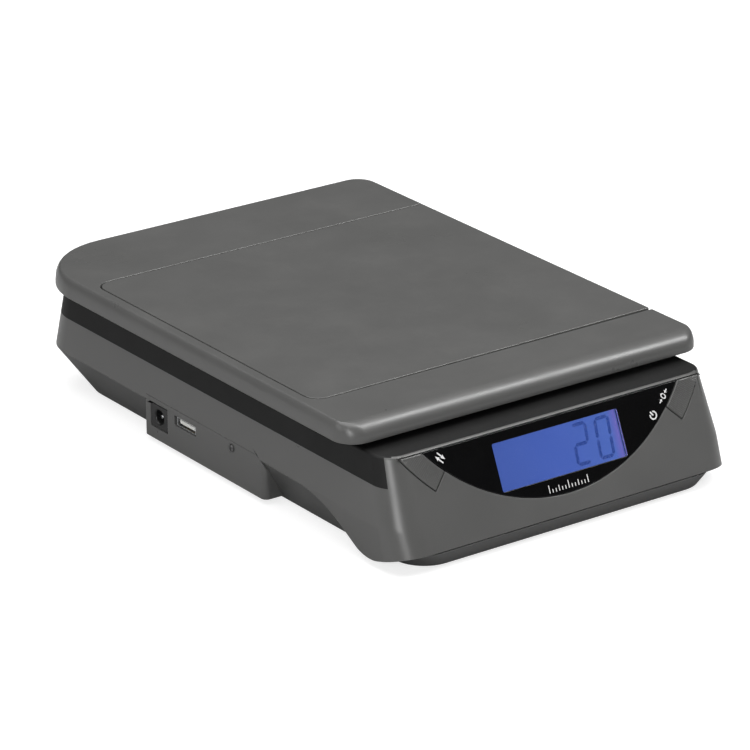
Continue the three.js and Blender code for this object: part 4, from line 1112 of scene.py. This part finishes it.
def paint_shade_band(s, shell):
    """Gives the deck and the upper band of the walls a near-black painted shade, for the shade that
    the platform casts on them.
    """
    bmesh.ops.bisect_plane(shell, geom=shell.verts[:] + shell.edges[:] + shell.faces[:],
                           plane_co=(0, 0, s.band), plane_no=(0, 0, 1))
    ahead = Vector((0, -math.cos(s.nose_lean), math.sin(s.nose_lean)))
    for face in shell.faces:
        centre = face.calc_center_median()
        on_front = face.normal.dot(ahead) > 0.7
        on_rim = centre.y < nose_y(s, centre.z) + 2 * s.top_edge
        # Faces above the band height, apart from the sloping front and its rim, take the near-black
        # painted shade.
        if centre.z > s.band and not on_front and not on_rim:
            face.material_index = 1
    return shell


def tray_level(s, z, wall):
    """The corners of the lower shell's outline at a height."""
    rise = (z - tray_low.z) / (s.parting - tray_low.z)
    side = s.side_inset + (s.upper_inset - s.side_inset) * rise + wall
    rear = s.rear_inset + (s.upper_inset - s.rear_inset) * rise + wall
    lean = s.front_inset / (s.nose_seam - tray_low.z)
    front = -platform_high.y + s.front_inset - lean * (z - tray_low.z) + wall
    return rectangle(casing_low.x + side, casing_high.x - side, front, casing_high.y - rear, z,
                     s.tray_front_radius - wall, s.tray_rear_radius - wall)


def tray_solid(s, wall, low, high):
    """The lower shell's outer form, or its inside when the wall is set."""
    return lofted([tray_level(s, low, wall), tray_level(s, high, wall)], segments=14)


def shape_lower_casing(s):
    """The lower shell with its bosses, foot recesses and battery opening."""
    inside = casing_solid(s, s.wall + s.play, s.front_wall + s.play, 0.0,
                          casing_high.z - s.wall)
    region = joined(under_parting(s, -s.seam_gap), inside)
    shell = crossed(tray_solid(s, 0.0, tray_low.z, s.parting), region)
    floor_top = tray_low.z + s.wall
    inner = tray_solid(s, s.wall, floor_top, s.parting + PAST)
    shell = cut(shell, inner, connector_box(s, s.play))
    boss_top = tray_low.z + s.boss_height
    bosses = housing_posts(tray_low.z, boss_top, s.boss_radius)
    foot_low, foot_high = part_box("load_cell_foot")
    bosses.append(block((foot_low.x, foot_low.y, tray_low.z),
                        (foot_high.x, foot_high.y, foot_low.z - s.play)))
    shell = joined(shell, gathered(*bosses))
    holes = housing_posts(-PAST, boss_top - s.wall, s.boss_bore)
    for name in numbered("rubber_foot", 4):
        centre = middle(name)
        low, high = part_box(name)
        holes.append(rod((centre.x, centre.y, -PAST), (centre.x, centre.y, high.z + s.play),
                         (high.x - low.x) / 2 + s.play))
    for name in numbered("load_cell_foot_screw", 2):
        centre = middle(name)
        holes.append(rod((centre.x, centre.y, -PAST),
                         (centre.x, centre.y, tray_low.z + s.cell_recess), s.cell_bore))
    holes.append(block(door_low - Vector((s.play, s.play, 2 * PAST)),
                       Vector((door_high.x + s.play, door_high.y + s.play, floor_top + PAST))))
    return cut(shell, gathered(*holes))


# ------------------------------------------------------------------- display shapes

def lcd_block(display, x, grow, low, high):
    """A block over the visible display in the sloping face's frame."""
    half_x = display.lcd_width / 2 + grow
    half_y = display.lcd_height / 2 + grow
    corners = rectangle(x - half_x, x + half_x, -display.lcd_drop - half_y,
                        -display.lcd_drop + half_y, low, display.lcd_corner,
                        display.lcd_corner)
    return swept(corners, (0, 0, high - low), segments=5)


def shape_digit(display, pattern, left, base, low, high):
    """A seven-bar digit: pattern names the lit bars, a to g, as a display maker does."""
    width, height, stroke = display.digit_width, display.digit_height, display.digit_stroke
    mid, right, top = base + height / 2, left + width, base + height
    ends = {"a": ((left, top), (right, top)), "b": ((right, mid), (right, top)),
            "c": ((right, base), (right, mid)), "d": ((left, base), (right, base)),
            "e": ((left, base), (left, mid)), "f": ((left, mid), (left, top)),
            "g": ((left, mid), (right, mid))}
    mitre = 0.62
    bars = []
    for letter in pattern:
        start, end = (Vector(point) for point in ends[letter])
        along = (end - start).normalized()
        across = Vector((-along.y, along.x)) * stroke / 2
        gap = along * stroke * mitre
        tip = along * stroke / 2
        points = (start + gap - tip, start + gap - across, end - gap - across,
                  end - gap + tip, end - gap + across, start + gap + across)
        bars.append(swept([((point.x, point.y, low), 0.0) for point in points],
                          (0, 0, high - low)))
    return gathered(*bars)


def shape_reading(casing, display, arc):
    """The digits of the reading, slanted and set on the display."""
    lift, thickness = 0.00002, 0.00004
    low = -display.lcd_depth + lift
    high = low + thickness
    base = -display.lcd_drop - display.digit_height / 2
    first = arc.x + display.digit_start
    second = first + display.digit_pitch
    digits = gathered(shape_digit(display, "abged", first, base, low, high),
                      shape_digit(display, "abcdef", second, base, low, high))
    lean = Matrix.Identity(4)
    lean[0][1] = math.tan(display.digit_lean)
    about = Matrix.Translation((0, base, 0))
    return moved(digits, face_frame(casing) @ about @ lean @ about.inverted())


def key_middle(display, arc, side):
    """The centre of a key, in the sloping face's frame."""
    radius = arc.radius + display.key_gap + display.key_band / 2
    top = math.asin((arc.y + arc.top) / (arc.radius + display.key_gap))
    angle = (top + display.key_end) / 2
    return Vector((arc.x + side * radius * math.cos(angle), arc.y - radius * math.sin(angle), 0))


def shape_key(casing, display, arc, side):
    """A key: a proud crescent cap, a flange behind the wall and a round stem."""
    inner = arc.radius + display.key_gap
    outer = inner + display.key_band
    back = -casing.front_wall - casing.play
    reach, flange, sink = display.flange_reach, display.flange_thickness, 0.0002
    cap = arc.crescent(side, inner, outer, display.key_end, arc.top, back - sink,
                       display.key_proud)
    rim = [edge for edge in cap.edges
           if all(vert.co.z > display.key_proud - 1e-6 for vert in edge.verts)]
    bmesh.ops.bevel(cap, geom=rim, offset=display.key_rounding, offset_type="OFFSET",
                    segments=3, profile=0.5, affect="EDGES", material=-1)
    plate = arc.crescent(side, inner - reach, outer + reach,
                         display.key_end + reach / (inner + display.key_band / 2),
                         display.flange_drop, back - flange, back)
    centre = key_middle(display, arc, side)
    stem = rod((centre.x, centre.y, -display.stem_reach),
               (centre.x, centre.y, back - flange / 2), display.stem_radius, segments=24)
    return moved(joined(cap, plate, stem), face_frame(casing))


# -------------------------------------------------------------------------- marks

# Printed ink starts this far over the lens.
INK_FOOT = 0.00001


def thin(points, low, high):
    """A thin flat mark through plain points."""
    return swept([((x, y, low), 0.0) for x, y in points], (0, 0, high - low))


def arrow(x, y, long, wide, way, low, high):
    """An arrow with its tail at x and its head to the right (1) or left (-1)."""
    half = wide / 6
    neck = x + way * long * 0.55
    points = [(x, y - half), (neck, y - half), (neck, y - wide / 2), (x + way * long, y),
              (neck, y + wide / 2), (neck, y + half), (x, y + half)]
    return thin(points[::way], low, high)


def power_sign(size, low, high):
    """A ring open at the top with a bar through the opening."""
    stroke = size * 0.16
    gap = math.radians(35)
    ring = arc_band((0, 0), size / 2 - stroke, size / 2, math.pi / 2 + gap,
                    2.5 * math.pi - gap, low, high, 28)
    bar = thin([(-stroke / 2, 0), (stroke / 2, 0), (stroke / 2, size * 0.56),
                (-stroke / 2, size * 0.56)], low, high)
    return gathered(ring, bar)


def zero_sign(size, low, high):
    """A nought between two arrow heads that point at it."""
    nought = arc_band((0, 0), size * 0.26, size * 0.42, 0.0, math.tau - 1e-3, low, high, 24)
    bmesh.ops.scale(nought, vec=(0.75, 1.1, 1.0), verts=nought.verts[:])
    left = arrow(-size * 1.05, 0, size * 0.6, size * 0.5, 1, low, high)
    right = arrow(size * 1.05, 0, size * 0.6, size * 0.5, -1, low, high)
    return gathered(nought, left, right)


def shape_marks(casing, display, arc, side):
    """The printed signs beside a key: swap on the left, power and zero on the right."""
    low, high = INK_FOOT, display.mark_thickness
    size = display.mark_height
    radius = arc.radius - size * 0.95
    signs = []
    if side < 0:
        swap = gathered(arrow(-size * 0.7, size * 0.27, size * 1.4, size * 0.5, 1, low, high),
                        arrow(size * 0.7, -size * 0.27, size * 1.4, size * 0.5, -1, low, high))
        signs.append((math.pi + display.swap_angle, swap))
    else:
        signs.append((-display.power_angle, power_sign(size * 1.15, low, high)))
        signs.append((-display.zero_angle, zero_sign(size, low, high)))
    for index, (angle, sign) in enumerate(signs):
        tilt = angle + (math.pi / 2 if side > 0 else -math.pi / 2 + math.pi)
        place = Matrix.Translation((arc.x + radius * math.cos(angle),
                                    arc.y + radius * math.sin(angle), 0))
        signs[index] = moved(sign, place @ Matrix.Rotation(tilt, 4, "Z"))
    return moved(gathered(*signs), face_frame(casing))


def shape_ticks(casing, display, arc):
    """A short row of graduation ticks under the display."""
    low, high = INK_FOOT, display.mark_thickness
    count, pitch, width = 13, display.tick_pitch, display.tick_width
    base = -display.lcd_drop - display.lcd_height / 2 - display.tick_drop
    ticks = []
    for index in range(count):
        tall = display.mark_height * (1.0 if index % 6 == 0 else 0.72 if index % 3 == 0 else 0.45)
        x = arc.x + (index - (count - 1) / 2) * pitch
        ticks.append(thin([(x - width / 2, base), (x + width / 2, base),
                           (x + width / 2, base + tall), (x - width / 2, base + tall)],
                          low, high))
    return moved(gathered(*ticks), face_frame(casing))


# ------------------------------------------------------------------------- sockets

def facing_left(x, y, z):
    """Carries a solid that stands on its own axis to point out of the left side."""
    return Matrix.Translation((x, y, z)) @ Matrix.Rotation(-math.pi / 2, 4, "Y")


def shape_jack(sockets, play):
    """The power socket's housing: rounded front, flared bore and a hole for the pin."""
    centre = middle("dc_jack_housing")
    corners = upright(jack_low.x, (jack_low.y, jack_high.y), (jack_low.z, jack_high.z),
                      sockets.jack_corner)
    housing = swept(corners, (jack_high.x - jack_low.x, 0, 0), segments=4)
    depth, bore, flare = sockets.jack_depth, sockets.jack_bore, sockets.jack_flare
    profile = [(0.0, -depth), (bore, -depth), (bore, -flare), (bore + flare, 0.0),
               (bore + flare, PAST), (0.0, PAST)]
    mouth = turned(profile, facing_left(jack_low.x, centre.y, centre.z))
    pin = rod((jack_low.x, centre.y, centre.z), (jack_high.x + PAST, centre.y, centre.z),
              sockets.pin_radius + play)
    return cut(housing, mouth, pin)


def shape_pin(sockets):
    """The power socket's pin with a rounded tip and a small centre hole."""
    low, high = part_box("dc_jack_pin")
    centre = middle("dc_jack_pin")
    radius = sockets.pin_radius
    reach = high.x - low.x
    profile = [(0.0, -reach), (radius, -reach), (radius, -radius * 0.6),
               (radius * 0.85, -radius * 0.2), (radius * 0.6, 0.0), (radius * 0.35, 0.0),
               (radius * 0.3, -radius), (0.0, -radius)]
    return turned(profile, facing_left(low.x, centre.y, centre.z), segments=24)


def shape_usb_shell(sockets):
    """The data socket's folded shell, with two spring windows in its top and bottom."""
    depth, wall = usb_high.x - usb_low.x, sockets.usb_wall
    outer = swept(upright(usb_low.x, (usb_low.y, usb_high.y), (usb_low.z, usb_high.z),
                          sockets.usb_corner), (depth, 0, 0), segments=4)
    inner = swept(upright(usb_low.x - PAST, (usb_low.y + wall, usb_high.y - wall),
                          (usb_low.z + wall, usb_high.z - wall), sockets.usb_corner),
                  (depth + wall, 0, 0), segments=4)
    shell = cut(outer, inner)
    centre = middle("usb_socket_shell")
    half = sockets.spring_width / 2
    near = usb_low.x + sockets.spring_start
    windows = []
    for y in (centre.y - sockets.spring_offset, centre.y + sockets.spring_offset):
        windows.append(block((near, y - half, usb_low.z - PAST),
                             (near + sockets.spring_length, y + half, usb_high.z + PAST)))
    return cut(shell, gathered(*windows))


def shape_tongue(sockets):
    """The data socket's tongue with a chamfered front edge."""
    tongue = block(tongue_low, tongue_high)
    front = [edge for edge in tongue.edges
             if all(vert.co.x < tongue_low.x + 1e-6 for vert in edge.verts)]
    bmesh.ops.bevel(tongue, geom=front, offset=sockets.tongue_chamfer, offset_type="OFFSET",
                    segments=2, profile=0.5, affect="EDGES", material=-1)
    return tongue


def shape_contacts(sockets):
    """Four flat contacts on the underside of the tongue."""
    centre = middle("usb_socket_tongue")
    half = sockets.contact_width / 2
    clear = 0.00002
    near, far = tongue_low.x + sockets.contact_inset, tongue_high.x - sockets.contact_end
    contacts = []
    for step in (-1.5, -0.5, 0.5, 1.5):
        y = centre.y + step * sockets.contact_pitch
        contacts.append(block((near, y - half, tongue_low.z - clear - sockets.contact_thickness),
                              (far, y + half, tongue_low.z - clear)))
    return gathered(*contacts)


# ------------------------------------------------------------------------- screws

def shape_screw(place, head_radius, head_height, shank_radius, shank_length):
    """A pan-head screw with a cross recess; its head's underside is at the origin."""
    dome = [(0.0, head_height), (head_radius * 0.55, head_height * 0.96),
            (head_radius * 0.85, head_height * 0.72), (head_radius, head_height * 0.35),
            (head_radius, 0.0), (shank_radius, 0.0), (shank_radius, -shank_length * 0.9),
            (shank_radius * 0.35, -shank_length), (0.0, -shank_length)]
    screw = turned(dome, Matrix.Identity(4), segments=28)
    half, deep = head_radius * 0.52, head_height * 0.4
    narrow, over = head_radius * 0.13, head_height + PAST
    cross = joined(block((-half, -narrow, deep), (half, narrow, over)),
                   block((-narrow, -half, deep), (narrow, half, over)))
    return moved(cut(screw, cross), place)


def shape_foot(node):
    """A round rubber foot: chamfered, with a shallow dish underneath."""
    low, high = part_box(node)
    centre = middle(node)
    radius = (high.x - low.x) / 2
    height = high.z - low.z
    dish, chamfer = 0.0003, 0.0006
    profile = [(0.0, dish), (radius * 0.62, dish), (radius * 0.72, 0.0),
               (radius - chamfer, 0.0), (radius, chamfer), (radius, height), (0.0, height)]
    return turned(profile, Matrix.Translation((centre.x, centre.y, low.z)), segments=40)


def shape_door():
    """The battery door: a rounded plate with finger ridges at its opening edge."""
    height, corner = door_high.z - door_low.z, 0.0015
    corners = rectangle(door_low.x, door_high.x, door_low.y, door_high.y, door_low.z,
                        corner, corner)
    door = swept(corners, (0, 0, height), segments=4)
    count, pitch, inset = 5, 0.0016, 0.0035
    wide, deep, half = 0.0008, 0.0006, 0.009
    grooves = []
    for index in range(count):
        y = door_high.y - inset - index * pitch
        grooves.append(block((-half, y - wide / 2, door_low.z - PAST),
                             (half, y + wide / 2, door_low.z + deep)))
    return cut(door, gathered(*grooves))


# ----------------------------------------------------------------------- operators

# Rounding of the edges of small moulded pieces, and of thin sheet metal.
FINE_EDGE = 0.0002
SHEET_EDGE = 0.00008


class PieceOperator:
    """What the operators of this file share."""
    bl_options = {"REGISTER", "UNDO"}

    def execute(self, context):
        scene = context.scene
        self.platform = scene.scale_platform
        self.casing = scene.scale_casing
        self.display = scene.scale_display
        self.sockets = scene.scale_sockets
        self.make(context)
        return {"FINISHED"}


class SCALE_OT_finishes(PieceOperator, bpy.types.Operator):
    """Make every finish and give the CAD pieces that stay their own"""
    bl_idname = "scale.finishes"
    bl_label = "Finishes"

    def make(self, context):
        FINISHES.update(all_finishes(context.scene.scale_finishes))
        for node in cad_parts.values():
            for material_slot in node.material_slots:
                stem = material_slot.material.name.split(".")[0]
                if stem not in FINISHES:
                    raise RuntimeError(f"No finish is named {stem}")
                material_slot.material = FINISHES[stem]


class SCALE_OT_platform(PieceOperator, bpy.types.Operator):
    """Make the weighing platform's cover"""
    bl_idname = "scale.platform"
    bl_label = "Weighing Platform"

    def make(self, context):
        add_piece("platform_cover", shape_platform(self.platform, self.casing.play), "platform",
                  "casing_grey", FINISHES["casing_grey"], stands_for=["weighing_platform"],
                  edge=self.platform.edge)


class SCALE_OT_leaf(PieceOperator, bpy.types.Operator):
    """Make the pull-out leaf"""
    bl_idname = "scale.leaf"
    bl_label = "Pull-out Leaf"

    def make(self, context):
        add_piece("pull_out_leaf", shape_leaf(self.platform), "leaf", "casing_grey",
                  FINISHES["casing_grey"], stands_for=["platform_leaf"], edge=self.platform.edge)


class SCALE_OT_upper_casing(PieceOperator, bpy.types.Operator):
    """Make the upper casing shell"""
    bl_idname = "scale.upper_casing"
    bl_label = "Upper Casing"

    def make(self, context):
        add_piece("upper_casing", shape_upper_casing(self.casing, self.display), "base",
                  "casing_grey", FINISHES["casing_grey"], FINISHES["deck"],
                  stands_for=["base_upper_shell"], edge=self.casing.edge)


class SCALE_OT_lower_casing(PieceOperator, bpy.types.Operator):
    """Make the lower casing shell"""
    bl_idname = "scale.lower_casing"
    bl_label = "Lower Casing"

    def make(self, context):
        add_piece("lower_casing", shape_lower_casing(self.casing), "base", "casing_dark",
                  FINISHES["casing_dark"], stands_for=["base_lower_shell"],
                  edge=self.casing.edge)


class SCALE_OT_display(PieceOperator, bpy.types.Operator):
    """Make the lens, its clear window, the lit display and its digits"""
    bl_idname = "scale.display"
    bl_label = "Display"

    def make(self, context):
        casing, display = self.casing, self.display
        arc = LensArc(casing, display)
        place = face_frame(casing)
        border = arc.segment(0.0, -display.lens_thickness, 0.0)
        through, clearance = 0.004, 0.00003
        hole = lcd_block(display, arc.x, 0.0, -through, through)
        border = moved(cut(border, hole), place)
        add_piece("display_border", border, "base", "black_gloss", FINISHES["black_gloss"],
                  stands_for=["display_lens"], edge=FINE_EDGE)
        pane = moved(lcd_block(display, arc.x, -clearance, -display.lens_thickness, 0.0), place)
        add_piece("display_window", sharpen(pane), "base", "black_gloss", FINISHES["window"])
        glass = lcd_block(display, arc.x, 0.0, -display.lcd_depth - display.lcd_thickness,
                          -display.lcd_depth)
        add_piece("display_glass", sharpen(moved(glass, place)), "base", "lcd_blue",
                  FINISHES["lcd_blue"], stands_for=["lcd_glass"])
        add_piece("display_digits", sharpen(shape_reading(casing, display, arc)), "base",
                  "lcd_blue", FINISHES["digit"])


class SCALE_OT_keys(PieceOperator, bpy.types.Operator):
    """Make the two keys beside the lens"""
    bl_idname = "scale.keys"
    bl_label = "Keys"

    def make(self, context):
        arc = LensArc(self.casing, self.display)
        for side, label in ((-1, "units"), (1, "power")):
            node = f"{label}_button"
            key = shape_key(self.casing, self.display, arc, side)
            add_piece(f"{label}_key", key, node, "casing_grey", FINISHES["casing_grey"],
                      stands_for=[node])


class SCALE_OT_marks(PieceOperator, bpy.types.Operator):
    """Print the plain signs and the graduation ticks on the lens"""
    bl_idname = "scale.marks"
    bl_label = "Printed Marks"

    def make(self, context):
        arc = LensArc(self.casing, self.display)
        for side, label in ((-1, "units"), (1, "power")):
            signs = sharpen(shape_marks(self.casing, self.display, arc, side))
            add_piece(f"{label}_sign", signs, "base", "white_plastic", FINISHES["ink"])
        ticks = sharpen(shape_ticks(self.casing, self.display, arc))
        add_piece("graduation_ticks", ticks, "base", "white_plastic", FINISHES["ink"])


class SCALE_OT_sockets(PieceOperator, bpy.types.Operator):
    """Make the power and data sockets"""
    bl_idname = "scale.sockets"
    bl_label = "Sockets"

    def make(self, context):
        sockets, play = self.sockets, self.casing.play
        add_piece("power_socket", shape_jack(sockets, play), "base", "black_plastic",
                  FINISHES["black_plastic"], stands_for=["dc_jack_housing"], edge=FINE_EDGE)
        add_piece("power_socket_pin", sharpen(shape_pin(sockets)), "base", "steel",
                  FINISHES["steel"], stands_for=["dc_jack_pin"])
        add_piece("data_socket_shell", shape_usb_shell(sockets), "base", "steel",
                  FINISHES["steel"], stands_for=["usb_socket_shell"], edge=SHEET_EDGE)
        add_piece("data_socket_tongue", sharpen(shape_tongue(sockets)), "base", "white_plastic",
                  FINISHES["white_plastic"], stands_for=["usb_socket_tongue"])
        add_piece("data_socket_contacts", sharpen(shape_contacts(sockets)), "base", "steel",
                  FINISHES["gold"])


class SCALE_OT_screws(PieceOperator, bpy.types.Operator):
    """Make the side screw and the housing screws"""
    bl_idname = "scale.screws"
    bl_label = "Screws"

    def make(self, context):
        centre = middle("side_screw")
        head_height, shank_radius = 0.0006, 0.001
        head_radius = (side_screw_high.z - side_screw_low.z) / 2
        place = facing_left(side_screw_low.x + head_height, centre.y, centre.z)
        screw = shape_screw(place, head_radius, head_height, shank_radius,
                            side_screw_high.x - side_screw_low.x - head_height)
        add_piece("side_screw_head", sharpen(screw), "base", "steel", FINISHES["dark_steel"],
                  stands_for=["side_screw"])
        head_height, shank_radius = 0.002, 0.0013
        for name in numbered("housing_screw", 4):
            low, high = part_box(name)
            centre = middle(name)
            place = (Matrix.Translation((centre.x, centre.y, low.z + head_height))
                     @ Matrix.Rotation(math.pi, 4, "X"))
            screw = shape_screw(place, (high.x - low.x) / 2, head_height, shank_radius,
                                high.z - low.z - head_height)
            add_piece(f"{name}_fine", sharpen(screw), "base", "steel", FINISHES["steel"],
                      stands_for=[name])


class SCALE_OT_underside(PieceOperator, bpy.types.Operator):
    """Make the rubber feet and the battery door"""
    bl_idname = "scale.underside"
    bl_label = "Feet and Battery Door"

    def make(self, context):
        for name in numbered("rubber_foot", 4):
            add_piece(f"{name}_pad", sharpen(shape_foot(name)), "base", "rubber",
                      FINISHES["rubber"], stands_for=[name])
        add_piece("battery_door_plate", shape_door(), "battery_door", "casing_dark",
                  FINISHES["casing_dark"], stands_for=["battery_door"], edge=FINE_EDGE)


# The lights face the middle of the scale.
LIT_POINT = Vector((0, 0, 0.03))


class SCALE_OT_stage(PieceOperator, bpy.types.Operator):
    """Make the pale floor, the soft lights and the camera"""
    bl_idname = "scale.stage"
    bl_label = "Stage"

    def make(self, context):
        scene = context.scene
        stage = scene.scale_stage
        scene.view_settings.view_transform = "Standard"
        self.make_floor(stage)
        self.make_sky(scene, stage)
        self.make_light("soft_top", (-0.1, 0.25, 1.9), (2.2, 2.2), stage.top_light)
        self.make_light("soft_side", (-1.7, 0.35, 0.8), (1.4, 1.0), stage.side_light)
        self.make_light("soft_nose", (-1.1, -1.1, 0.55), (0.5, 0.7), stage.nose_light)
        self.make_light("soft_edge", (0.95, -0.65, 1.3), (0.25, 1.2), stage.edge_light)
        self.make_camera(scene, stage)

    def make_floor(self, stage):
        """The pale floor, with a material of its own."""
        bm = bmesh.new()
        bmesh.ops.create_grid(bm, x_segments=1, y_segments=1, size=stage.floor_size / 2)
        bmesh.ops.translate(bm, vec=(0, 0, -stage.floor_drop), verts=bm.verts[:])
        mesh = bpy.data.meshes.new("floor")
        bm.to_mesh(mesh)
        bm.free()
        material, tree, shader = blank_material("Pale Floor")
        surface = effect(tree, "Moulded Grain", grain_scale=300.0, cloud_scale=3.0)
        base = mix_colour(tree, surface.outputs["Cloud"], (0.44, 0.44, 0.44, 1.0),
                          (0.46, 0.46, 0.46, 1.0))
        tree.links.new(base, shader.inputs["Base Color"])
        pale = mix_colour(tree, surface.outputs["Cloud"], (0.99, 0.99, 0.99, 1.0),
                          (1.0, 1.0, 1.0, 1.0))
        tree.links.new(pale, shader.inputs["Emission Color"])
        seen = add_node(tree, "ShaderNodeLightPath").outputs["Is Camera Ray"]
        glow = spread(tree, seen, 0.0, stage.floor_glow)
        tree.links.new(glow, shader.inputs["Emission Strength"])
        shader.inputs["Roughness"].default_value = 0.9
        mesh.materials.append(material)
        floor = bpy.data.objects.new("floor", mesh)
        bpy.context.scene.collection.objects.link(floor)

    def make_sky(self, scene, stage):
        """A dim even light all round that looks white to the camera."""
        world = bpy.data.worlds.new("Pale Sky")
        world.use_nodes = True
        tree = world.node_tree
        seen = add_node(tree, "ShaderNodeLightPath").outputs["Is Camera Ray"]
        strength = spread(tree, seen, stage.sky, 1.0)
        background = tree.nodes["Background"]
        background.inputs["Color"].default_value = (1.0, 1.0, 1.0, 1.0)
        tree.links.new(strength, background.inputs["Strength"])
        scene.world = world

    def make_light(self, name, place, size, power):
        """A soft rectangular light that faces the scale."""
        light = bpy.data.lights.new(name, "AREA")
        light.shape = "RECTANGLE"
        light.size, light.size_y = size
        light.energy = power
        lamp = bpy.data.objects.new(name, light)
        lamp.location = place
        aim = LIT_POINT - lamp.location
        lamp.rotation_euler = aim.to_track_quat("-Z", "Y").to_euler()
        bpy.context.scene.collection.objects.link(lamp)

    def make_camera(self, scene, stage):
        """The camera, looking down at the scale from its left front."""
        target = Vector(stage.target)
        turned_by, raised = stage.azimuth, stage.elevation
        away = Vector((-math.sin(turned_by) * math.cos(raised),
                       -math.cos(turned_by) * math.cos(raised), math.sin(raised)))
        camera = bpy.data.cameras.new("camera")
        camera.lens = stage.lens
        camera.sensor_width = 36.0
        viewer = bpy.data.objects.new("camera", camera)
        viewer.location = target + away * stage.distance
        viewer.rotation_euler = (-away).to_track_quat("-Z", "Y").to_euler()
        scene.collection.objects.link(viewer)
        scene.camera = viewer


class SCALE_PT_parts(bpy.types.Panel):
    """Lists the pieces of the scale in the order they are made"""
    bl_idname = "SCALE_PT_parts"
    bl_label = "Postal Scale"
    bl_space_type = "VIEW_3D"
    bl_region_type = "UI"
    bl_category = "Postal Scale"

    def draw(self, context):
        for operator in OPERATORS:
            self.layout.operator(operator.bl_idname)


OPERATORS = (SCALE_OT_stage, SCALE_OT_finishes, SCALE_OT_platform, SCALE_OT_leaf,
             SCALE_OT_upper_casing, SCALE_OT_lower_casing, SCALE_OT_display, SCALE_OT_keys,
             SCALE_OT_marks, SCALE_OT_sockets, SCALE_OT_screws, SCALE_OT_underside)

SETTINGS = (("scale_platform", PlatformSettings), ("scale_casing", CasingSettings),
            ("scale_display", DisplaySettings), ("scale_sockets", SocketSettings),
            ("scale_finishes", FinishSettings), ("scale_stage", StageSettings))


def register():
    for name, settings in SETTINGS:
        bpy.utils.register_class(settings)
        setattr(bpy.types.Scene, name, bpy.props.PointerProperty(type=settings))
    for operator in OPERATORS:
        bpy.utils.register_class(operator)
    bpy.utils.register_class(SCALE_PT_parts)


def unregister():
    bpy.utils.unregister_class(SCALE_PT_parts)
    for operator in reversed(OPERATORS):
        bpy.utils.unregister_class(operator)
    for name, settings in reversed(SETTINGS):
        delattr(bpy.types.Scene, name)
        bpy.utils.unregister_class(settings)


def main():
    """Makes every piece in turn."""
    register()
    for operator in OPERATORS:
        category, name = operator.bl_idname.split(".")
        getattr(getattr(bpy.ops, category), name)()


if __name__ == "__main__":
    main()
